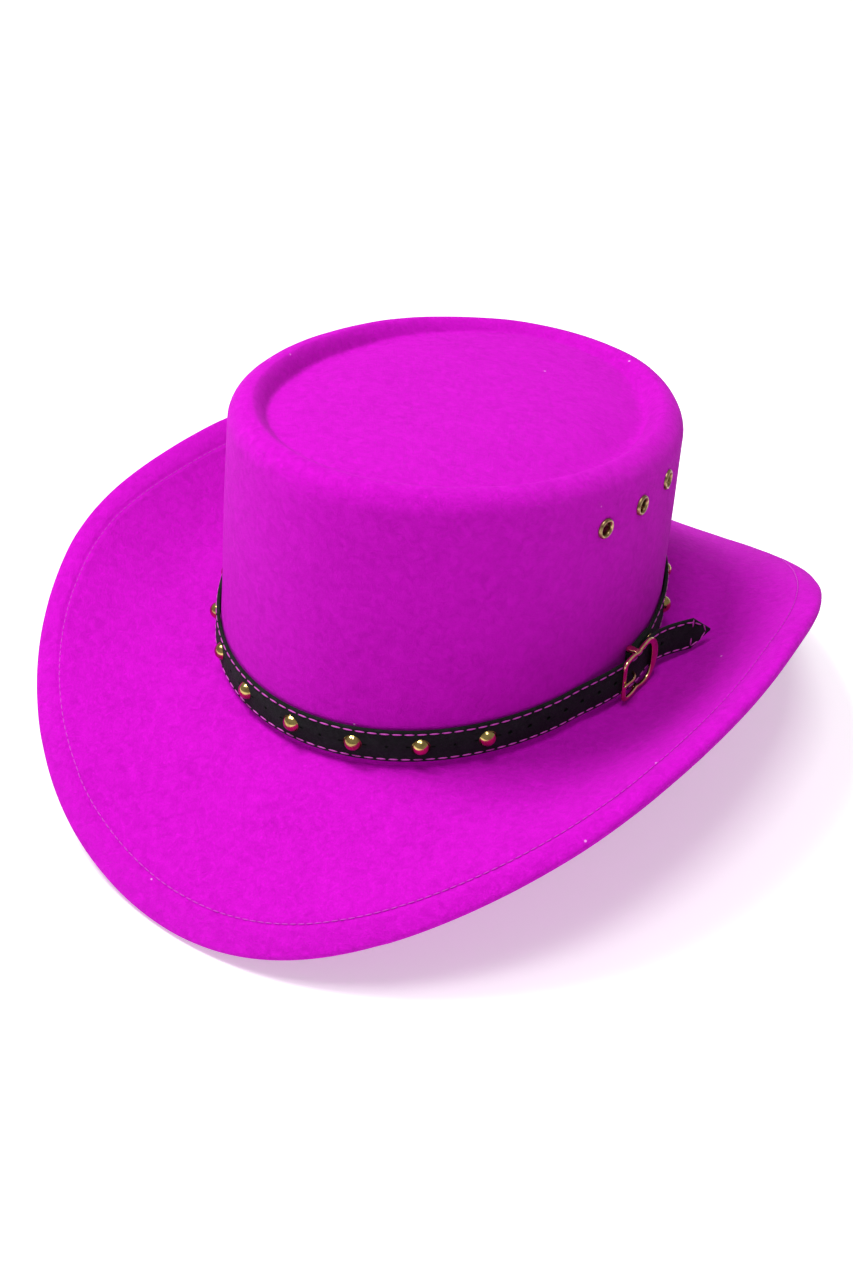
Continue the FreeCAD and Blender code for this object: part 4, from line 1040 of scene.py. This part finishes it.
STRAP_STITCH, STRAP_STITCH_GAP, STRAP_THREAD = 3.9, 0.8, 0.33
FIRST_STITCH, UNSEWN_END = 2.6, 16.0
CROSS_ROW, CROSS_LOW, CROSS_HIGH = 9.6, -3.6, 5.4
THREAD_MAGENTA = (0.70, 0.075, 0.58, 1.0)
face_out = STRAP_THICKNESS / 2 + 0.02
sewn_runs = np.arange(FIRST_STITCH, strap_run[-1] - UNSEWN_END, STRAP_STEP)
upper = [(run, max(strap_half(run) - EDGE_TO_STITCH, 0.0)) for run in sewn_runs]
edge_path = [on_strap(run, up, face_out) for run, up in upper[::-1]]
edge_path += [on_strap(run, -up, face_out) for run, up in upper]
cross_row = [on_strap(CROSS_ROW, up, face_out) for up in np.linspace(CROSS_LOW, CROSS_HIGH, 6)]
strap_rows = [(np.array(edge_path), False), (np.array(cross_row), False)]
strap_stitches = stitched("strap_stitches", strap_rows, STRAP_STITCH, STRAP_STITCH_GAP, STRAP_THREAD,
                          thread_material("magenta_thread", THREAD_MAGENTA))
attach(strap_stitches, "hat_band")

# ---- Dome studs and rivets ---------------------------------------------------------------------------
# Twenty gilt brass domes with a thin turned rim stand round the band at even distances; two small
# round-headed rivets hold the strap's fold together.

STUD_RADIUS, STUD_RISE, STUD_SHANK = 3.5, 2.7, 0.8
STUD_DEPTH = 0.9
RIVET_RADIUS, RIVET_RISE, RIVET_SHANK, RIVET_DEPTH = 1.7, 0.9, 0.7, 0.3
RIVET_ALONG, RIVET_OUT, RIVET_UP = 15.5, 1.5, 4.4
RIM_TOP, RIM_BOTTOM, RIM_PROUD = 0.24, 0.1, 0.12
GILT, GILT_DARK = (0.62, 0.46, 0.16, 1.0), (0.30, 0.21, 0.07, 1.0)


def dome_shape(radius, rise, shank, depth, columns):
    """A dome with a thin rim on a short shank."""
    ball = (radius ** 2 + rise ** 2) / (2 * rise)
    slope = math.asin(min(1.0, radius / ball))
    profile = [(ball * math.sin(t), rise + 0.08 - ball * (1 - math.cos(t)))
               for t in np.linspace(0.02, slope * 0.97, 9)]
    profile += [(radius, RIM_TOP + RIM_PROUD), (radius + RIM_PROUD, RIM_TOP),
                (radius + RIM_PROUD, RIM_BOTTOM), (radius - 0.05, 0.04), (shank, 0.04), (shank, -depth),
                (0.05, -depth)]
    return lathe(profile, columns)


gilt = metal_material("gilt_stud", GILT, GILT_DARK, 0.10, 0.28, cloud=260.0)
stud_shape = dome_shape(STUD_RADIUS, STUD_RISE, STUD_SHANK, STUD_DEPTH, 32)
rivet_shape = dome_shape(RIVET_RADIUS, RIVET_RISE, RIVET_SHANK, RIVET_DEPTH, 28)
rivet_places = [place_at(beside_buckle(RIVET_ALONG, RIVET_OUT + STRAP_THICKNESS / 2, up), (1.0, 0.0, 0.0),
                         (0.0, 1.0, 0.0)) for up in (RIVET_UP, -RIVET_UP)]
for name, node, places, shape in (("stud_domes", "dome_studs", stud_places, stud_shape),
                                  ("fold_rivet_heads", "fold_rivets", rivet_places, rivet_shape)):
    heads = stood_on(name, shape, places, gilt, sharp=50.0)
    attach(heads, "hat_band")
    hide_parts(node)

# ---- Buckle frame ------------------------------------------------------------------------------------
# A cast and gilt frame: a slim square loop in front of the centre bar, a waist at the bar, and a round loop
# with a broad flat end behind it. Two lugs under the waist carry the bar's ends.

FRAME_OUT, BAR_OUT, FRAME_THICKNESS = 5.4, 2.2, 1.7
EAR_UP, EAR_THICKNESS = 8.6, 1.4
FRAME_OUTER = ((-11.9, 0.0), (-11.7, 7.2), (-9.8, 9.8), (-4.5, 10.2), (-0.4, 9.3), (3.6, 10.4), (9.2, 10.2),
               (14.4, 6.4), (16.4, 0.0))
FRAME_INNER = ((-10.0, 0.0), (-9.8, 6.3), (-8.5, 8.1), (-4.5, 8.5), (-0.4, 7.8), (3.6, 8.6), (7.9, 8.2),
               (10.7, 5.0), (11.4, 0.0))
LOOP_POINTS, SECTION_POINTS, SECTION_POWER = 176, 20, 0.75
LUG_RADIUS, LUG_FLAT, LUG_EDGE = 1.6, -1.3, 0.25
LUG_STEM = ((1.5, 1.4), (1.2, 2.4), (1.3, 3.7), (-1.3, 3.7), (-1.2, 2.4), (-1.5, 1.4))
BUCKLE_GILT, BUCKLE_DARK = (0.88, 0.60, 0.30, 1.0), (0.55, 0.34, 0.16, 1.0)


def loop_points(upper, count):
    """A smooth closed loop, the same above and below, of count points through the given corners."""
    corners = list(upper) + [(along, -up) for along, up in upper[-2:0:-1]]
    many = np.array(corners * 3)
    knots = np.linspace(len(corners), 2 * len(corners), count, endpoint=False)
    tangent = (np.roll(many, -1, 0) - np.roll(many, 1, 0)) / 2
    k = knots.astype(int)
    t = (knots - k)[:, None]
    return ((2 * t ** 3 - 3 * t ** 2 + 1) * many[k] + (t ** 3 - 2 * t ** 2 + t) * tangent[k]
            + (-2 * t ** 3 + 3 * t ** 2) * many[k + 1] + (t ** 3 - t ** 2) * tangent[k + 1])


outer_loop, inner_loop = loop_points(FRAME_OUTER, LOOP_POINTS), loop_points(FRAME_INNER, LOOP_POINTS)
frame_rings = []
for step in range(SECTION_POINTS):
    turn = 2 * math.pi * step / SECTION_POINTS
    across = math.copysign(abs(math.cos(turn)) ** SECTION_POWER, math.cos(turn))
    rise = math.copysign(abs(math.sin(turn)) ** SECTION_POWER, math.sin(turn))
    line = (outer_loop + inner_loop) / 2 + (outer_loop - inner_loop) / 2 * across
    thick = FRAME_THICKNESS / 2
    out = FRAME_OUT - BAR_OUT + thick + rise * thick
    frame_rings.append(np.stack([np.full(len(line), out), line[:, 0], line[:, 1]], -1))
frame_faces = ring_faces(len(frame_rings), LOOP_POINTS, hoop=True)
frame_shapes = [(np.concatenate(frame_rings), frame_faces, np.eye(4))]
lug = [(LUG_RADIUS * math.sin(t), -LUG_RADIUS * math.cos(t)) for t in np.radians(np.linspace(-90, 90, 15))]
lug_outline = np.array([(along, max(out, LUG_FLAT)) for along, out in lug + list(LUG_STEM)])
for side in (1, -1):
    low = side * EAR_UP - EAR_THICKNESS / 2
    frame_shapes.append((*slab(lug_outline, low, low + EAR_THICKNESS, LUG_EDGE), np.eye(4)))
buckle_gilt = metal_material("gilt_buckle", BUCKLE_GILT, BUCKLE_DARK, 0.08, 0.26, cloud=180.0)
buckle = buckle_piece("buckle_casting", *joined(frame_shapes), sharp=50.0)
buckle.data.materials.append(buckle_gilt)
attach(buckle, "buckle")
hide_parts("buckle_frame")
coat_cad("buckle_centre_bar", nickel)

# ---- Buckle prong ------------------------------------------------------------------------------------
# A bent wire tongue, drawn thinner towards its rounded tip, with an eye closed round the centre bar.

PRONG_RADIUS, PRONG_TIP = 0.65, 0.6
EYE_HALF_WIDTH, EYE_FLAT, EYE_INNER_EDGE, EYE_OUTER_EDGE = 0.9, (0.7, 0.6), 0.15, 0.2


def tube(points, radii, columns=16):
    """A closed round tube along points."""
    ahead = np.gradient(points, axis=0)
    ahead /= np.linalg.norm(ahead, axis=1)[:, None]
    rings = []
    for point, way, radius in zip(points, ahead, radii):
        side = np.array((0.0, 0.0, 1.0))
        other = np.cross(way, side)
        turn = np.linspace(0, 2 * math.pi, columns, endpoint=False)[:, None]
        rings.append(point + radius * (np.cos(turn) * side + np.sin(turn) * other))
    shape = np.concatenate(rings + [[points[0]], [points[-1]]])
    return shape, ring_faces(len(rings), columns)


prong_rest = FRAME_OUT - BAR_OUT + FRAME_THICKNESS + PRONG_RADIUS + RUNNING_GAP
prong_route = [(0.9, -0.9, 0), (2.6, -2.3, 0), (prong_rest - 0.7, -4.2, 0), (prong_rest + 0.25, -7.0, 0),
               (prong_rest, -11.0, 0), (prong_rest - 0.1, -13.4, 0)]
prong_run, prong_line = smooth_through(prong_route, step=0.3)
left = prong_run[-1] - prong_run
prong_radii = PRONG_RADIUS * np.sqrt(np.clip(1 - (1 - np.clip(left / PRONG_TIP, 0, 1)) ** 2, 0.02, 1))
eye_inner, eye_outer = BAR_RADIUS + RUNNING_GAP, BAR_RADIUS + FOLD_THICKNESS + RUNNING_GAP
eye_half = [(eye_inner, EYE_FLAT[0]), (eye_inner + EYE_INNER_EDGE, EYE_HALF_WIDTH),
            (eye_outer - EYE_OUTER_EDGE, EYE_HALF_WIDTH), (eye_outer, EYE_FLAT[1])]
eye = lathe([(radius, -height) for radius, height in eye_half] + eye_half[::-1], 32)
prong_shapes = [(*tube(prong_line, prong_radii), np.eye(4)), (*eye, np.eye(4))]
prong = buckle_piece("prong_wire", *joined(prong_shapes), sharp=50.0)
prong.data.materials.append(buckle_gilt)
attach(prong, "prong")
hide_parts("buckle_prong")

# ---- Floor, light and camera -------------------------------------------------------------------------
# A plain pale floor and sky, a soft light above the wearer's right, and a weaker one above the front.

FLOOR_HALF, FLOOR_HEIGHT = 8.0, -0.0005
floor_corners = [(x * FLOOR_HALF, y * FLOOR_HALF, FLOOR_HEIGHT)
                 for x, y in ((-1, -1), (1, -1), (1, 1), (-1, 1))]
floor = mesh_piece("floor", floor_corners, [(0, 1, 2, 3)])
floor_paint, floor_tree, floor_shader = plain_material("pale_floor")
floor_shader.inputs["Base Color"].default_value = (0.92, 0.92, 0.925, 1.0)
floor_shader.inputs["Roughness"].default_value = 0.9
floor_shader.inputs["Specular IOR Level"].default_value = 0.1
floor_shader.inputs["Emission Color"].default_value = (1.0, 1.0, 1.0, 1.0)
floor_shader.inputs["Emission Strength"].default_value = 0.36
floor.data.materials.append(floor_paint)

world = bpy.data.worlds.new("pale_sky")
bpy.context.scene.world = world
world.use_nodes = True
world.node_tree.nodes["Background"].inputs["Color"].default_value = (1.0, 1.0, 1.0, 1.0)
world.node_tree.nodes["Background"].inputs["Strength"].default_value = 0.34


def soft_light(name, place, size, power):
    """A square light that faces the crown."""
    lamp = bpy.data.lights.new(name, "AREA")
    lamp.shape = "SQUARE"
    lamp.size = size
    lamp.energy = power
    held = bpy.data.objects.new(name, lamp)
    held.location = place
    held.rotation_euler = (Vector((0.0, 0.0, 0.08)) - Vector(place)).to_track_quat("-Z", "Y").to_euler()
    bpy.context.scene.collection.objects.link(held)


soft_light("key_light", (-0.78, -0.45, 1.72), 0.6, 31.0)
soft_light("top_light", (0.10, -0.45, 1.90), 0.6, 14.0)

camera_data = bpy.data.cameras.new("camera")
camera_data.lens = 47.0
camera_data.sensor_width = 36.0
camera_data.clip_start = 0.01
camera = bpy.data.objects.new("camera", camera_data)
CAMERA_PLACE = (0.30465, -0.51874, 0.44877)
CAMERA_RIGHT = (0.81763, 0.56978, 0.08268)
CAMERA_UP = (-0.38598, 0.43591, 0.81303)
CAMERA_BACK = (0.42720, -0.69666, 0.57633)
camera.matrix_world = Matrix((CAMERA_RIGHT, CAMERA_UP, CAMERA_BACK)).transposed().to_4x4()
camera.matrix_world.translation = CAMERA_PLACE
bpy.context.scene.collection.objects.link(camera)
bpy.context.scene.camera = camera
bpy.context.scene.view_settings.view_transform = "Standard"
